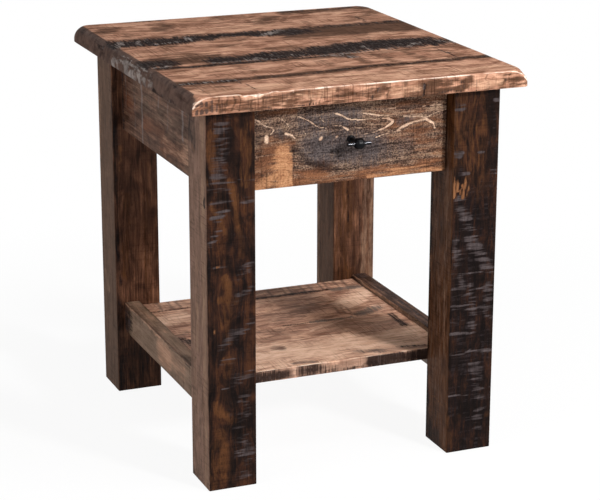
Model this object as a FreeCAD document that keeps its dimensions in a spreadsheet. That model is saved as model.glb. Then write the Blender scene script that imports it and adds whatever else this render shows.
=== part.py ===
"""Rustic end table: rough-sawn hickory top, four laminated posts, one drawer and a low shelf.

The table's own frame has its origin on the floor under the middle of the legs.
X runs to the right, Y to the back and Z up, so the drawer opens towards -Y.
All lengths are in millimetres.
"""
import FreeCAD, Part
import Sketcher
import os
import re

SIZES = {
    # Overall: height of the table and the rectangle over the outsides of the legs
    "table_height": 610,
    "frame_width": 470,
    "frame_depth": 527,
    # Tabletop: five boards with their grain from left to right, glued at shares of its depth
    "top_thickness": 27,
    "top_overhang": 30,
    "top_end_round": 22,
    "top_edge_round": 4.5,
    "top_lower_round": 3,
    "top_first_seam_share": 0.168,
    "top_second_seam_share": 0.3535,
    "top_third_seam_share": 0.5,
    "top_fourth_seam_share": 0.7215,
    # Legs: square posts of three glued layers, each seen on the post's sides
    "leg_size": 76.2,
    "leg_layer": 25.4,
    "leg_edge_round": 1.5,
    # Tenons, shared by the aprons, the front rails and the stretchers
    "tenon_thickness": 10,
    "tenon_length": 22,
    "tenon_shoulder": 9,
    "joint_clearance": 0.15,
    "mortise_bottom_gap": 1.5,
    # Aprons under the top, set in from the legs' outsides
    "apron_height": 129,
    "apron_thickness": 22,
    "apron_inset": 18,
    "apron_edge_round": 1.2,
    "back_tenon_inset": 9,
    # Kerf along the aprons' inner faces, and the steel clips that hook into it
    "kerf_drop": 12,
    "kerf_depth": 9,
    "clip_thickness": 2,
    "clip_width": 20,
    "clip_reach": 24,
    "clip_standoff": 0.3,
    "clip_tongue": 8,
    "clip_clearance": 0.25,
    "clip_screw_place": 15,
    "side_clip_inset": 87,
    "back_clip_inset": 79,
    # Flat rails between the front legs, behind the drawer's front
    "rail_thickness": 19,
    "rail_tenon_shoulder": 4.5,
    "rail_screw_inset": 49,
    # Stretchers near the floor, one each side
    "stretcher_bottom": 106,
    "stretcher_height": 51,
    "stretcher_thickness": 25.4,
    "stretcher_inset": 14.5,
    "stretcher_edge_round": 1.5,
    # Shelf: three boards between the stretchers, resting on cleats
    "shelf_drop": 7,
    "shelf_thickness": 19,
    "shelf_clearance": 0.3,
    "shelf_edge_round": 2,
    "shelf_first_seam_share": 0.487,
    "shelf_second_seam_share": 0.873,
    "cleat_thickness": 19,
    "cleat_height": 22,
    "cleat_end_gap": 15,
    "cleat_screw_inset": 42,
    # Drawer front: inset between the front legs, thinner than the recess is deep
    "drawer_recess": 22,
    "drawer_front_thickness": 19,
    "drawer_side_gap": 2,
    "drawer_top_gap": 3,
    "drawer_front_drop": 1.5,
    "drawer_front_round": 1,
    # Drawer box: dovetailed, with a panel in a groove
    "box_back_gap": 46,
    "box_lift": 3,
    "box_top_gap": 4,
    "box_board": 12,
    "glue_gap": 0.1,
    "tail_wide": 19,
    "tail_narrow": 14,
    "panel_thickness": 6,
    "panel_drop": 10,
    "panel_groove": 6,
    "panel_clearance": 0.2,
    "bumper_radius": 5,
    "bumper_thickness": 1.8,
    "bumper_inset": 22,
    "bumper_gap": 0.2,
    # Drawer slides: three channels, one inside the other
    "slide_width": 12.7,
    "slide_height": 45,
    "slide_setback": 2.5,
    "slide_sheet": 1.2,
    "slide_running_gap": 0.3,
    "slide_case_flange": 8.7,
    "slide_middle_offset": 3.4,
    "slide_middle_flange": 6.3,
    "slide_drawer_flange": 7.5,
    "slide_bend_round": 0.8,
    "runner_block_margin": 13.5,
    "runner_screw_inset": 37,
    # Screws: number 8 wood screws and one machine screw in the knob
    "screw_radius": 2.1,
    "screw_clearance": 0.1,
    "flat_head_radius": 4.1,
    "flat_head_depth": 2.6,
    "pan_head_radius": 3.6,
    "pan_head_height": 1.8,
    "clip_screw_length": 14,
    "rail_screw_length": 36,
    "cleat_screw_length": 34,
    "shelf_screw_length": 34,
    "runner_screw_cover": 8,
    "case_screw_length": 15,
    "case_screw_inset": 20,
    "drawer_screw_length": 10,
    "drawer_screw_inset": 50,
    "front_screw_cover": 4,
    "front_screw_inset": 34,
    "front_screw_margin": 14,
    "knob_screw_length": 42,
    # Knob: a turned foot and neck, a short barrel across it and a bar through the barrel
    "knob_drop": 64,
    "knob_foot_radius": 6,
    "knob_foot_height": 2.5,
    "knob_neck_radius": 3.8,
    "knob_standoff": 31,
    "knob_barrel_radius": 8.5,
    "knob_barrel_length": 15,
    "knob_barrel_round": 5,
    "knob_bar_radius": 2.4,
    "knob_bar_length": 37,
    "knob_bar_round": 0.6,
    "knob_bar_clearance": 0.05,
    # One overrun for every cut that runs out through a face
    "cut_overrun": 5,
}

doc = FreeCAD.newDocument("rustic_end_table")
sheet = doc.addObject("Spreadsheet::Sheet", "Sizes")
for row, (size_name, size_value) in enumerate(SIZES.items(), start=1):
    sheet.set(f"A{row}", size_name)
    sheet.set(f"B{row}", str(size_value))
    sheet.setAlias(f"B{row}", size_name)
doc.recompute()

pieces = []

# Places that several pieces share, as formulas of the sheet's sizes
UNDER_TOP = "(table_height - top_thickness)"
LEG_OUT_X = "(frame_width / 2)"
LEG_OUT_Y = "(frame_depth / 2)"
LEG_IN_X = "(frame_width / 2 - leg_size)"
LEG_IN_Y = "(frame_depth / 2 - leg_size)"
APRON_OUT_X = "(frame_width / 2 - apron_inset)"
APRON_IN_X = "(frame_width / 2 - apron_inset - apron_thickness)"
APRON_OUT_Y = "(frame_depth / 2 - apron_inset)"
APRON_IN_Y = "(frame_depth / 2 - apron_inset - apron_thickness)"
APRON_BOTTOM = f"({UNDER_TOP} - apron_height)"
KERF_BOTTOM = f"({UNDER_TOP} - kerf_drop)"
STRETCHER_OUT_X = "(frame_width / 2 - stretcher_inset)"
STRETCHER_IN_X = "(frame_width / 2 - stretcher_inset - stretcher_thickness)"
STRETCHER_TOP = "(stretcher_bottom + stretcher_height)"
SHELF_TOP = f"({STRETCHER_TOP} - shelf_drop)"
SHELF_BOTTOM = f"({SHELF_TOP} - shelf_thickness)"
FRONT_FACE = "(drawer_recess - frame_depth / 2)"
FRONT_BACK = f"({FRONT_FACE} + drawer_front_thickness)"
FRONT_BOTTOM = f"({APRON_BOTTOM} - drawer_front_drop)"
FRONT_TOP = f"({UNDER_TOP} - drawer_top_gap)"
FRONT_HALF = f"({LEG_IN_X} - drawer_side_gap)"
RAIL_FRONT = f"({FRONT_BACK} + bumper_thickness + bumper_gap)"
BOX_HALF = f"({LEG_IN_X} - slide_width)"
BOX_INSIDE = f"({BOX_HALF} - box_board)"
BOX_BACK = f"({APRON_IN_Y} - box_back_gap)"
BOX_LENGTH = f"({BOX_BACK} - {FRONT_BACK})"
BOX_BOTTOM = f"({APRON_BOTTOM} + rail_thickness + box_lift)"
BOX_TOP = f"({UNDER_TOP} - rail_thickness - box_top_gap)"
PANEL_BOTTOM = f"({BOX_BOTTOM} + panel_drop)"
PANEL_TOP = f"({PANEL_BOTTOM} + panel_thickness)"
SLIDE_START = f"({FRONT_BACK} + slide_setback)"
SLIDE_LENGTH = BOX_LENGTH
SLIDE_MIDDLE_Y = f"({SLIDE_START} + {SLIDE_LENGTH} / 2)"
SLIDE_MIDDLE_Z = f"(({BOX_BOTTOM} + {BOX_TOP}) / 2)"
KNOB_Z = f"({FRONT_TOP} - knob_drop)"
KNOB_CENTRE_Y = f"({FRONT_FACE} - knob_standoff)"

# The joints between the tabletop's boards and between the shelf's, from front edge to back edge
TOP_HALF_Y = f"({LEG_OUT_Y} + top_overhang)"
TOP_SEAMS = [f"(-{TOP_HALF_Y})"]
for place in ("first", "second", "third", "fourth"):
    TOP_SEAMS.append(f"({TOP_HALF_Y} * (2 * top_{place}_seam_share - 1))")
TOP_SEAMS.append(TOP_HALF_Y)

SHELF_HALF_Y = f"({LEG_IN_Y} - shelf_clearance)"
SHELF_SEAMS = [f"(-{SHELF_HALF_Y})"]
for place in ("first", "second"):
    SHELF_SEAMS.append(f"({SHELF_HALF_Y} * (2 * shelf_{place}_seam_share - 1))")
SHELF_SEAMS.append(SHELF_HALF_Y)

TAIL_COUNT = 3
TOLERANCE = 1e-6


def bound(formula):
    """The formula with each size's name turned into a reference to the sheet."""
    return re.sub(r"[a-z_0-9]+", lambda word: ("Sizes." if word[0] in SIZES else "") + word[0], formula)


def size(name):
    """A size's present value in the sheet."""
    return float(sheet.get(name))


def negated(formula):
    return f"(-({formula}))"


def spread(half):
    """The pair of places one half-length either side of the middle."""
    return negated(half), f"({half})"


def sided(side, low, high):
    """A pair of places on the right (side 1), or the same pair mirrored to the left (side -1)."""
    if side > 0:
        return low, high
    return negated(high), negated(low)


def grown(pair, margin):
    """A pair of places moved apart by a margin at each end."""
    return f"({pair[0]} - ({margin}))", f"({pair[1]} + ({margin}))"


def put(feature, x, y, z):
    """Bind a feature's place to three formulas."""
    for axis, formula in zip("xyz", (x, y, z)):
        feature.setExpression("Placement.Base." + axis, bound(formula))
    return feature


def block(name, x, y, z):
    """A rectangular block between a low and a high place on each axis."""
    feature = doc.addObject("Part::Box", name)
    for side, (low, high) in zip(("Length", "Width", "Height"), (x, y, z)):
        feature.setExpression(side, bound(f"({high}) - ({low})"))
    return put(feature, x[0], y[0], z[0])


TURNS = {
    "+x": FreeCAD.Rotation(FreeCAD.Vector(0, 1, 0), 90),
    "-x": FreeCAD.Rotation(FreeCAD.Vector(0, 1, 0), -90),
    "+y": FreeCAD.Rotation(FreeCAD.Vector(1, 0, 0), -90),
    "-y": FreeCAD.Rotation(FreeCAD.Vector(1, 0, 0), 90),
    "+z": FreeCAD.Rotation(),
}


def along(place, heading, distance):
    """A place moved along a heading by a distance."""
    moved = list(place)
    index = "xyz".index(heading[1])
    moved[index] = f"({moved[index]} {heading[0]} ({distance}))"
    return moved


def rod(name, radius, length, place, heading):
    """A cylinder that starts at a place and runs along a heading."""
    feature = doc.addObject("Part::Cylinder", name)
    feature.Placement = FreeCAD.Placement(FreeCAD.Vector(), TURNS[heading])
    feature.setExpression("Radius", bound(radius))
    feature.setExpression("Height", bound(length))
    return put(feature, *place)


def taper(name, first_radius, last_radius, length, place, heading):
    """A cone's stump that starts at a place and runs along a heading."""
    feature = doc.addObject("Part::Cone", name)
    feature.Placement = FreeCAD.Placement(FreeCAD.Vector(), TURNS[heading])
    feature.setExpression("Radius1", bound(first_radius))
    feature.setExpression("Radius2", bound(last_radius))
    feature.setExpression("Height", bound(length))
    return put(feature, *place)


def joined(name, features):
    """Several features as one, or the one feature as it is."""
    if len(features) == 1:
        return features[0]
    fused = doc.addObject("Part::MultiFuse", name)
    fused.Shapes = features
    return fused


def cut(name, base, tools):
    """A piece with one tool, or several joined into one, cut away."""
    feature = doc.addObject("Part::Cut", name)
    feature.Base = base
    feature.Tool = joined(name + "_tools", tools)
    return feature


def shared(name, base, tool):
    feature = doc.addObject("Part::Common", name)
    feature.Base = base
    feature.Tool = tool
    return feature


def eased(name, base, radius_name, chosen):
    """A piece with the edges that pass a test rounded to a radius of the sheet."""
    doc.recompute()
    feature = doc.addObject("Part::Fillet", name)
    feature.Base = base
    radius = size(radius_name)
    feature.Edges = [(k, radius, radius) for k, edge in enumerate(base.Shape.Edges, start=1) if chosen(edge)]
    return feature


def runs(edge, axis):
    """Whether an edge is straight along one axis."""
    box = edge.BoundBox
    lengths = {"x": box.XLength, "y": box.YLength, "z": box.ZLength}
    return abs(lengths.pop(axis) - edge.Length) < TOLERANCE and max(lengths.values()) < TOLERANCE


def below(edge, level):
    return edge.BoundBox.ZMax < level


def keep(feature, label):
    """Name a finished sub-part and list it for export."""
    feature.Label = label
    pieces.append(feature)
    return feature


def plane_of(body, role):
    return next(plane for plane in body.Origin.OriginFeatures if plane.Role == role)


def outline(body, name, plane, points):
    """A closed outline of straight lines whose corners are bound to pairs of formulas.

    The corners start anywhere on a curve, and the bound distances put them in their places.
    """
    sketch = body.newObject("Sketcher::SketchObject", name)
    sketch.AttachmentSupport = [(plane_of(body, plane), "")]
    sketch.MapMode = "FlatFace"
    corners = [FreeCAD.Vector(k, k * k, 0) for k in range(len(points))]
    for k in range(len(points)):
        sketch.addGeometry(Part.LineSegment(corners[k - 1], corners[k]), False)
    for k, (across, up) in enumerate(points):
        sketch.addConstraint(Sketcher.Constraint("Coincident", k, 2, (k + 1) % len(points), 1))
        for kind, formula in (("DistanceX", across), ("DistanceY", up)):
            index = sketch.addConstraint(Sketcher.Constraint(kind, -1, 1, k, 2, 1))
            sketch.setExpression(f"Constraints[{index}]", bound(formula))
    return sketch


def padded(body, sketch, length):
    pad = body.newObject("PartDesign::Pad", body.Name + "_pad")
    pad.Profile = sketch
    pad.setExpression("Length", bound(length))
    return pad


def rounded(body, base, radius, chosen):
    """A fillet in a body, on the edges that pass a test."""
    doc.recompute()
    fillet = body.newObject("PartDesign::Fillet", body.Name + "_round")
    fillet.Base = (base, [f"Edge{k}" for k, edge in enumerate(base.Shape.Edges, start=1) if chosen(edge)])
    fillet.setExpression("Radius", bound(radius))
    return fillet


def flat_head_screws(name, length, spots):
    """Countersunk wood screws, and the holes they fill, at places of the head's face with headings."""
    steel = []
    holes = []
    for k, (place, heading) in enumerate(spots):
        pair = ((steel, f"{name}_{k}", "0"), (holes, f"{name}_hole_{k}", "screw_clearance"))
        for made, label, gap in pair:
            head = taper(
                label + "_head", f"flat_head_radius + {gap}", f"screw_radius + {gap}", "flat_head_depth",
                place, heading,
            )
            shank = rod(label + "_shank", f"screw_radius + {gap}", f"{length} + {gap}", place, heading)
            made += [head, shank]
    keep(joined(name, steel), name)
    return joined(name + "_holes", holes)


def pan_head_screws(name, length, spots):
    """Pan-head screws whose heads bear on a face: the holes take only their shanks."""
    steel = []
    holes = []
    for k, (place, heading) in enumerate(spots):
        head = rod(
            f"{name}_{k}_head", "pan_head_radius", "pan_head_height",
            along(place, heading, "-pan_head_height"), heading,
        )
        shank = rod(f"{name}_{k}_shank", "screw_radius", length, place, heading)
        steel += [head, shank]
        holes.append(
            rod(
                f"{name}_hole_{k}", "screw_radius + screw_clearance", f"{length} + screw_clearance",
                place, heading,
            )
        )
    keep(joined(name, steel), name)
    return joined(name + "_holes", holes)


# Screws of the drawer slides, the cleats, the clips and the drawer, placed before the wood is bored

SIDES = (("left", -1), ("right", 1))


def mirrored_x(side, formula):
    return formula if side > 0 else negated(formula)


def heading_x(side):
    """The heading that points away from the table's middle."""
    return "+x" if side > 0 else "-x"


case_screw_holes = pan_head_screws("slide_case_screws", "case_screw_length", [
    (
        (mirrored_x(side, f"({LEG_IN_X} - slide_sheet)"),
         f"({SLIDE_MIDDLE_Y} + {k} * ({SLIDE_LENGTH} / 2 - case_screw_inset))", SLIDE_MIDDLE_Z),
        heading_x(side),
    )
    for _, side in SIDES
    for k in (-1, 0, 1)
])

drawer_screw_holes = pan_head_screws("slide_drawer_screws", "drawer_screw_length", [
    (
        (mirrored_x(side, f"({BOX_HALF} + slide_sheet)"),
         f"({SLIDE_MIDDLE_Y} + {k} * ({SLIDE_LENGTH} / 2 - drawer_screw_inset))", SLIDE_MIDDLE_Z),
        heading_x(-side),
    )
    for _, side in SIDES
    for k in (-1, 0, 1)
])

RUNNER_SCREW_LENGTH = f"({APRON_OUT_X} - {LEG_IN_X} - runner_screw_cover)"

runner_screw_holes = flat_head_screws("runner_block_screws", RUNNER_SCREW_LENGTH, [
    (
        (mirrored_x(side, LEG_IN_X), f"({k} * ({LEG_IN_Y} - runner_screw_inset))",
         f"({SLIDE_MIDDLE_Z} + {lift} * (slide_height + runner_block_margin) / 2)"),
        heading_x(side),
    )
    for _, side in SIDES
    for k, lift in ((-1, 1), (0, -1), (1, 1))
])

cleat_screw_holes = flat_head_screws("cleat_screws", "cleat_screw_length", [
    (
        (mirrored_x(side, f"({STRETCHER_IN_X} - cleat_thickness)"),
         f"({k} * ({LEG_IN_Y} - cleat_end_gap - cleat_screw_inset))",
         f"({SHELF_BOTTOM} - cleat_height / 2)"),
        heading_x(side),
    )
    for _, side in SIDES
    for k in (-1, 0, 1)
])

shelf_screw_holes = flat_head_screws("shelf_screws", "shelf_screw_length", [
    (
        (mirrored_x(side, f"({STRETCHER_IN_X} - cleat_thickness / 2)"), f"(({low} + {high}) / 2)",
         f"({SHELF_BOTTOM} - cleat_height)"),
        "+z",
    )
    for _, side in SIDES
    for low, high in zip(SHELF_SEAMS[:-1], SHELF_SEAMS[1:])
])

top_rail_screw_holes = flat_head_screws("top_rail_screws", "rail_screw_length", [
    (
        (f"({k} * ({LEG_IN_X} - rail_screw_inset))", f"(({RAIL_FRONT} - {LEG_IN_Y}) / 2)",
         f"({UNDER_TOP} - rail_thickness)"),
        "+z",
    )
    for k in (-1, 1)
])

FRONT_SCREW_LENGTH = "(box_board + drawer_front_thickness - front_screw_cover)"
FRONT_SCREW_LEVELS = (f"({PANEL_TOP} + front_screw_margin)", f"({BOX_TOP} - front_screw_margin)")

front_screw_holes = flat_head_screws("drawer_front_screws", FRONT_SCREW_LENGTH, [
    ((f"({k} * ({BOX_INSIDE} - front_screw_inset))", f"({FRONT_BACK} + box_board)", level), "-y")
    for k in (-1, 1)
    for level in FRONT_SCREW_LEVELS
])

knob_screw_holes = pan_head_screws("knob_screw", "knob_screw_length", [
    (("0", f"({FRONT_BACK} + box_board)", KNOB_Z), "-y")
])

# Steel clips: a tongue in the apron's kerf, a riser and a flange screwed to the underside of the top

clip_spots = [
    (heading, f"({k} * ({LEG_IN_Y} - side_clip_inset))")
    for heading in ("+x", "-x")
    for k in (-1, 1)
]
clip_spots += [("+y", f"({k} * ({LEG_IN_X} - back_clip_inset))") for k in (-1, 1)]

clip_screw_holes = pan_head_screws("top_clip_screws", "clip_screw_length", [
    (
        (mirrored_x(1 if heading == "+x" else -1, f"({APRON_IN_X} - clip_screw_place)"), place,
         f"({UNDER_TOP} - clip_thickness)")
        if heading[1] == "x"
        else (place, f"({APRON_IN_Y} - clip_screw_place)", f"({UNDER_TOP} - clip_thickness)"),
        "+z",
    )
    for heading, place in clip_spots
])


def clip_block(name, heading, place, near, far, z):
    """One leg of a clip, between two distances from the apron's inner face towards the middle."""
    width = (f"({place} - clip_width / 2)", f"({place} + clip_width / 2)")
    if heading == "+y":
        return block(name, width, (f"({APRON_IN_Y} - ({far}))", f"({APRON_IN_Y} - ({near}))"), z)
    side = 1 if heading == "+x" else -1
    return block(name, sided(side, f"({APRON_IN_X} - ({far}))", f"({APRON_IN_X} - ({near}))"), width, z)


def clips():
    legs = []
    for k, (heading, place) in enumerate(clip_spots):
        tongue_z = (KERF_BOTTOM, f"({KERF_BOTTOM} + clip_thickness)")
        riser_z = (KERF_BOTTOM, UNDER_TOP)
        flange_z = (f"({UNDER_TOP} - clip_thickness)", UNDER_TOP)
        riser_far = "clip_standoff + clip_thickness"
        legs.append(clip_block(f"clip_{k}_tongue", heading, place, "-clip_tongue", riser_far, tongue_z))
        legs.append(clip_block(f"clip_{k}_riser", heading, place, "clip_standoff", riser_far, riser_z))
        legs.append(clip_block(f"clip_{k}_flange", heading, place, "clip_standoff", "clip_reach", flange_z))
    keep(cut("top_clips", joined("clip_blanks", legs), [clip_screw_holes]), "top_clips")


clips()

# Tabletop: one rounded slab, ripped into the five boards that it is glued up from


def tabletop():
    half_x = f"({LEG_OUT_X} + top_overhang)"
    slab = block("top_blank", spread(half_x), spread(TOP_HALF_Y), (UNDER_TOP, "table_height"))
    upper = size("table_height")
    lower = upper - size("top_thickness")
    slab = eased("top_ends", slab, "top_end_round",
                 lambda edge: runs(edge, "y") and abs(edge.BoundBox.ZMin - upper) < TOLERANCE)
    slab = eased("top_sides", slab, "top_edge_round",
                 lambda edge: edge.BoundBox.YLength < TOLERANCE and edge.BoundBox.ZMax > lower + TOLERANCE)
    slab = eased("top_slab", slab, "top_lower_round",
                 lambda edge: abs(edge.BoundBox.ZMax - lower) < TOLERANCE)
    labels = ("front", "second", "third", "fourth", "back")
    for label, low, high in zip(labels, TOP_SEAMS[:-1], TOP_SEAMS[1:]):
        strip = block(
            f"top_strip_{label}", grown(spread(half_x), "cut_overrun"), (low, high),
            grown((UNDER_TOP, "table_height"), "cut_overrun"),
        )
        board = shared(f"top_board_{label}_blank", slab, strip)
        bored = cut(f"top_board_{label}", board, [clip_screw_holes, top_rail_screw_holes])
        keep(bored, f"top_board_{label}")


tabletop()

# Rails with tenons: the same long box stands for both tenons, and a wider one for both mortises


def tenoned_y(name, x, z, tenon_x, tenon_z):
    """A rail between a front and a back leg, and the space that its tenons need in the legs."""
    body = block(name + "_body", x, spread(LEG_IN_Y), z)
    tenon = block(name + "_tenons", tenon_x, spread(f"({LEG_IN_Y} + tenon_length)"), tenon_z)
    mortise = block(
        name + "_mortises", grown(tenon_x, "joint_clearance"),
        spread(f"({LEG_IN_Y} + tenon_length + mortise_bottom_gap)"), grown(tenon_z, "joint_clearance"),
    )
    return body, tenon, mortise


def tenoned_x(name, y, z, tenon_y, tenon_z):
    """A rail between a left and a right leg, and the space that its tenons need in the legs."""
    body = block(name + "_body", spread(LEG_IN_X), y, z)
    tenon = block(name + "_tenons", spread(f"({LEG_IN_X} + tenon_length)"), tenon_y, tenon_z)
    mortise = block(
        name + "_mortises", spread(f"({LEG_IN_X} + tenon_length + mortise_bottom_gap)"),
        grown(tenon_y, "joint_clearance"), grown(tenon_z, "joint_clearance"),
    )
    return body, tenon, mortise


mortises = {"left": [], "right": [], "front": [], "back": []}
KERF_LEVELS = grown((KERF_BOTTOM, f"({KERF_BOTTOM} + clip_thickness)"), "clip_clearance")
apron_middle_level = size("table_height") - size("top_thickness") - size("apron_height") / 2


def side_aprons():
    z = (APRON_BOTTOM, UNDER_TOP)
    tenon_z = (f"({APRON_BOTTOM} + tenon_shoulder)", f"({UNDER_TOP} - tenon_shoulder)")
    for label, side in SIDES:
        x = sided(side, APRON_IN_X, APRON_OUT_X)
        middle = mirrored_x(side, f"({APRON_OUT_X} - apron_thickness / 2)")
        tenon_x = (f"({middle} - tenon_thickness / 2)", f"({middle} + tenon_thickness / 2)")
        body, tenon, mortise = tenoned_y("apron_" + label, x, z, tenon_x, tenon_z)
        mortises[label].append(mortise)
        soft = eased(f"apron_{label}_soft", body, "apron_edge_round",
                     lambda edge: runs(edge, "y") and below(edge, apron_middle_level))
        kerf_x = sided(side, f"({APRON_IN_X} - cut_overrun)", f"({APRON_IN_X} + kerf_depth)")
        kerf = block(f"apron_{label}_kerf", kerf_x, spread(LEG_IN_Y), KERF_LEVELS)
        rail = joined(f"apron_{label}_rail", [soft, tenon])
        keep(cut(f"apron_{label}", rail, [kerf, runner_screw_holes]), f"apron_{label}")


def back_apron():
    z = (APRON_BOTTOM, UNDER_TOP)
    tenon_z = (f"({APRON_BOTTOM} + tenon_shoulder)", f"({UNDER_TOP} - tenon_shoulder)")
    tenon_back = f"({APRON_OUT_Y} - back_tenon_inset)"
    tenon_y = (f"({tenon_back} - tenon_thickness)", tenon_back)
    body, tenon, mortise = tenoned_x("apron_back", (APRON_IN_Y, APRON_OUT_Y), z, tenon_y, tenon_z)
    mortises["back"].append(mortise)
    soft = eased("apron_back_soft", body, "apron_edge_round",
                 lambda edge: runs(edge, "x") and below(edge, apron_middle_level))
    kerf_y = (f"({APRON_IN_Y} - cut_overrun)", f"({APRON_IN_Y} + kerf_depth)")
    kerf = block("apron_back_kerf", spread(LEG_IN_X), kerf_y, KERF_LEVELS)
    rail = joined("apron_back_rail", [soft, tenon])
    keep(cut("apron_back", rail, [kerf]), "apron_back")


def front_rails():
    y = (RAIL_FRONT, negated(LEG_IN_Y))
    tenon_y = (f"({RAIL_FRONT} + rail_tenon_shoulder)", f"(-{LEG_IN_Y} - rail_tenon_shoulder)")
    levels = {"top": f"({UNDER_TOP} - rail_thickness)", "bottom": APRON_BOTTOM}
    for label, low in levels.items():
        z = (low, f"({low} + rail_thickness)")
        tenon_z = (f"({low} + rail_tenon_shoulder)", f"({low} + rail_thickness - rail_tenon_shoulder)")
        body, tenon, mortise = tenoned_x(f"rail_front_{label}", y, z, tenon_y, tenon_z)
        mortises["front"].append(mortise)
        rail = joined(f"rail_front_{label}_whole", [body, tenon])
        if label == "top":
            rail = cut("rail_front_top", rail, [top_rail_screw_holes])
        keep(rail, f"rail_front_{label}")


def stretchers():
    z = ("stretcher_bottom", STRETCHER_TOP)
    tenon_z = ("(stretcher_bottom + tenon_shoulder)", f"({STRETCHER_TOP} - tenon_shoulder)")
    for label, side in SIDES:
        x = sided(side, STRETCHER_IN_X, STRETCHER_OUT_X)
        middle = mirrored_x(side, f"({STRETCHER_OUT_X} - stretcher_thickness / 2)")
        tenon_x = (f"({middle} - tenon_thickness / 2)", f"({middle} + tenon_thickness / 2)")
        body, tenon, mortise = tenoned_y("stretcher_" + label, x, z, tenon_x, tenon_z)
        mortises[label].append(mortise)
        soft = eased(f"stretcher_{label}_soft", body, "stretcher_edge_round", lambda edge: runs(edge, "y"))
        rail = joined(f"stretcher_{label}_rail", [soft, tenon])
        keep(cut(f"stretcher_{label}", rail, [cleat_screw_holes]), f"stretcher_{label}")


side_aprons()
back_apron()
front_rails()
stretchers()

# Legs: each post is mortised whole, then sliced into its three glued layers


def legs():
    for depth_label, depth_side in (("front", -1), ("back", 1)):
        for width_label, width_side in SIDES:
            name = f"leg_{depth_label}_{width_label}"
            x = sided(width_side, LEG_IN_X, LEG_OUT_X)
            y = sided(depth_side, LEG_IN_Y, LEG_OUT_Y)
            blank = block(name + "_blank", x, y, ("0", UNDER_TOP))
            post = eased(name + "_post", blank, "leg_edge_round", lambda edge: runs(edge, "z"))
            tools = mortises[width_label] + mortises[depth_label]
            if depth_label == "front":
                tools = tools + [case_screw_holes]
            bored = cut(name + "_bored", post, tools)
            layers = {
                "face": (y[0], f"({y[0]} + leg_layer)"),
                "core": (f"({y[0]} + leg_layer)", f"({y[1]} - leg_layer)"),
                "back": (f"({y[1]} - leg_layer)", y[1]),
            }
            for layer, layer_y in layers.items():
                slab = block(f"{name}_{layer}_slab", grown(x, "cut_overrun"), layer_y,
                             grown(("0", UNDER_TOP), "cut_overrun"))
                keep(shared(f"{name}_{layer}", bored, slab), f"{name}_{layer}")


legs()

# Shelf: three boards between the stretchers, on a cleat screwed to each stretcher


def shelf():
    half_x = f"({STRETCHER_IN_X} - shelf_clearance)"
    front_edge = size("leg_size") + size("shelf_clearance") - size("frame_depth") / 2
    for label, low, high in zip(("front", "middle", "back"), SHELF_SEAMS[:-1], SHELF_SEAMS[1:]):
        board = block(f"shelf_board_{label}_blank", spread(half_x), (low, high), (SHELF_BOTTOM, SHELF_TOP))
        if label == "front":
            board = eased("shelf_board_front_soft", board, "shelf_edge_round",
                          lambda edge: runs(edge, "x") and abs(edge.BoundBox.YMax - front_edge) < TOLERANCE)
        keep(cut(f"shelf_board_{label}", board, [shelf_screw_holes]), f"shelf_board_{label}")


def cleats():
    for label, side in SIDES:
        strip = block(
            f"shelf_cleat_{label}_strip",
            sided(side, f"({STRETCHER_IN_X} - cleat_thickness)", STRETCHER_IN_X),
            spread(f"({LEG_IN_Y} - cleat_end_gap)"),
            (f"({SHELF_BOTTOM} - cleat_height)", SHELF_BOTTOM),
        )
        bored = cut(f"shelf_cleat_{label}", strip, [cleat_screw_holes, shelf_screw_holes])
        keep(bored, f"shelf_cleat_{label}")


shelf()
cleats()

# Runner blocks: packing between the legs, flush with their inner faces, that carries the slides


def runner_blocks():
    half = "(slide_height / 2 + runner_block_margin)"
    z = (f"({SLIDE_MIDDLE_Z} - {half})", f"({SLIDE_MIDDLE_Z} + {half})")
    for label, side in SIDES:
        strip = block(
            f"runner_block_{label}_strip", sided(side, LEG_IN_X, APRON_IN_X), spread(LEG_IN_Y), z
        )
        bored = cut(f"runner_block_{label}", strip, [runner_screw_holes, case_screw_holes])
        keep(bored, f"runner_block_{label}")


runner_blocks()

# Drawer slides: folded steel channels, one pair of each per drawer


def channel(name, side, web_place, height, flange, opens_in, holes):
    """A folded channel that lies along the drawer: its web stands at a distance from the case's side."""
    body = doc.addObject("PartDesign::Body", name + "_body")
    if opens_in:
        points = [
            ("0", "0"), (flange, "0"), (flange, "slide_sheet"), ("slide_sheet", "slide_sheet"),
            ("slide_sheet", f"{height} - slide_sheet"), (flange, f"{height} - slide_sheet"),
            (flange, height), ("0", height),
        ]
    else:
        inside = f"{flange} - slide_sheet"
        points = [
            ("0", "0"), (flange, "0"), (flange, height), ("0", height), ("0", f"{height} - slide_sheet"),
            (inside, f"{height} - slide_sheet"), (inside, "slide_sheet"), ("0", "slide_sheet"),
        ]
    pad = padded(body, outline(body, name + "_outline", "XZ_Plane", points), SLIDE_LENGTH)
    doc.recompute()
    web_edge = 0 if opens_in else pad.Shape.BoundBox.XMax
    levels = (pad.Shape.BoundBox.ZMin, pad.Shape.BoundBox.ZMax)
    rounded(
        body, pad, "slide_bend_round",
        lambda edge: runs(edge, "y") and abs(edge.BoundBox.XMin - web_edge) < TOLERANCE
        and min(abs(edge.BoundBox.ZMin - level) for level in levels) < TOLERANCE,
    )
    start = f"({SLIDE_MIDDLE_Z} - ({height}) / 2)"
    if side < 0:
        put(body, f"({web_place} - {LEG_IN_X})", f"({SLIDE_START} + {SLIDE_LENGTH})", start)
    else:
        body.Placement = FreeCAD.Placement(FreeCAD.Vector(), FreeCAD.Rotation(FreeCAD.Vector(0, 0, 1), 180))
        put(body, f"({LEG_IN_X} - {web_place})", SLIDE_START, start)
    keep(cut(name, body, holes) if holes else body, name)


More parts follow.
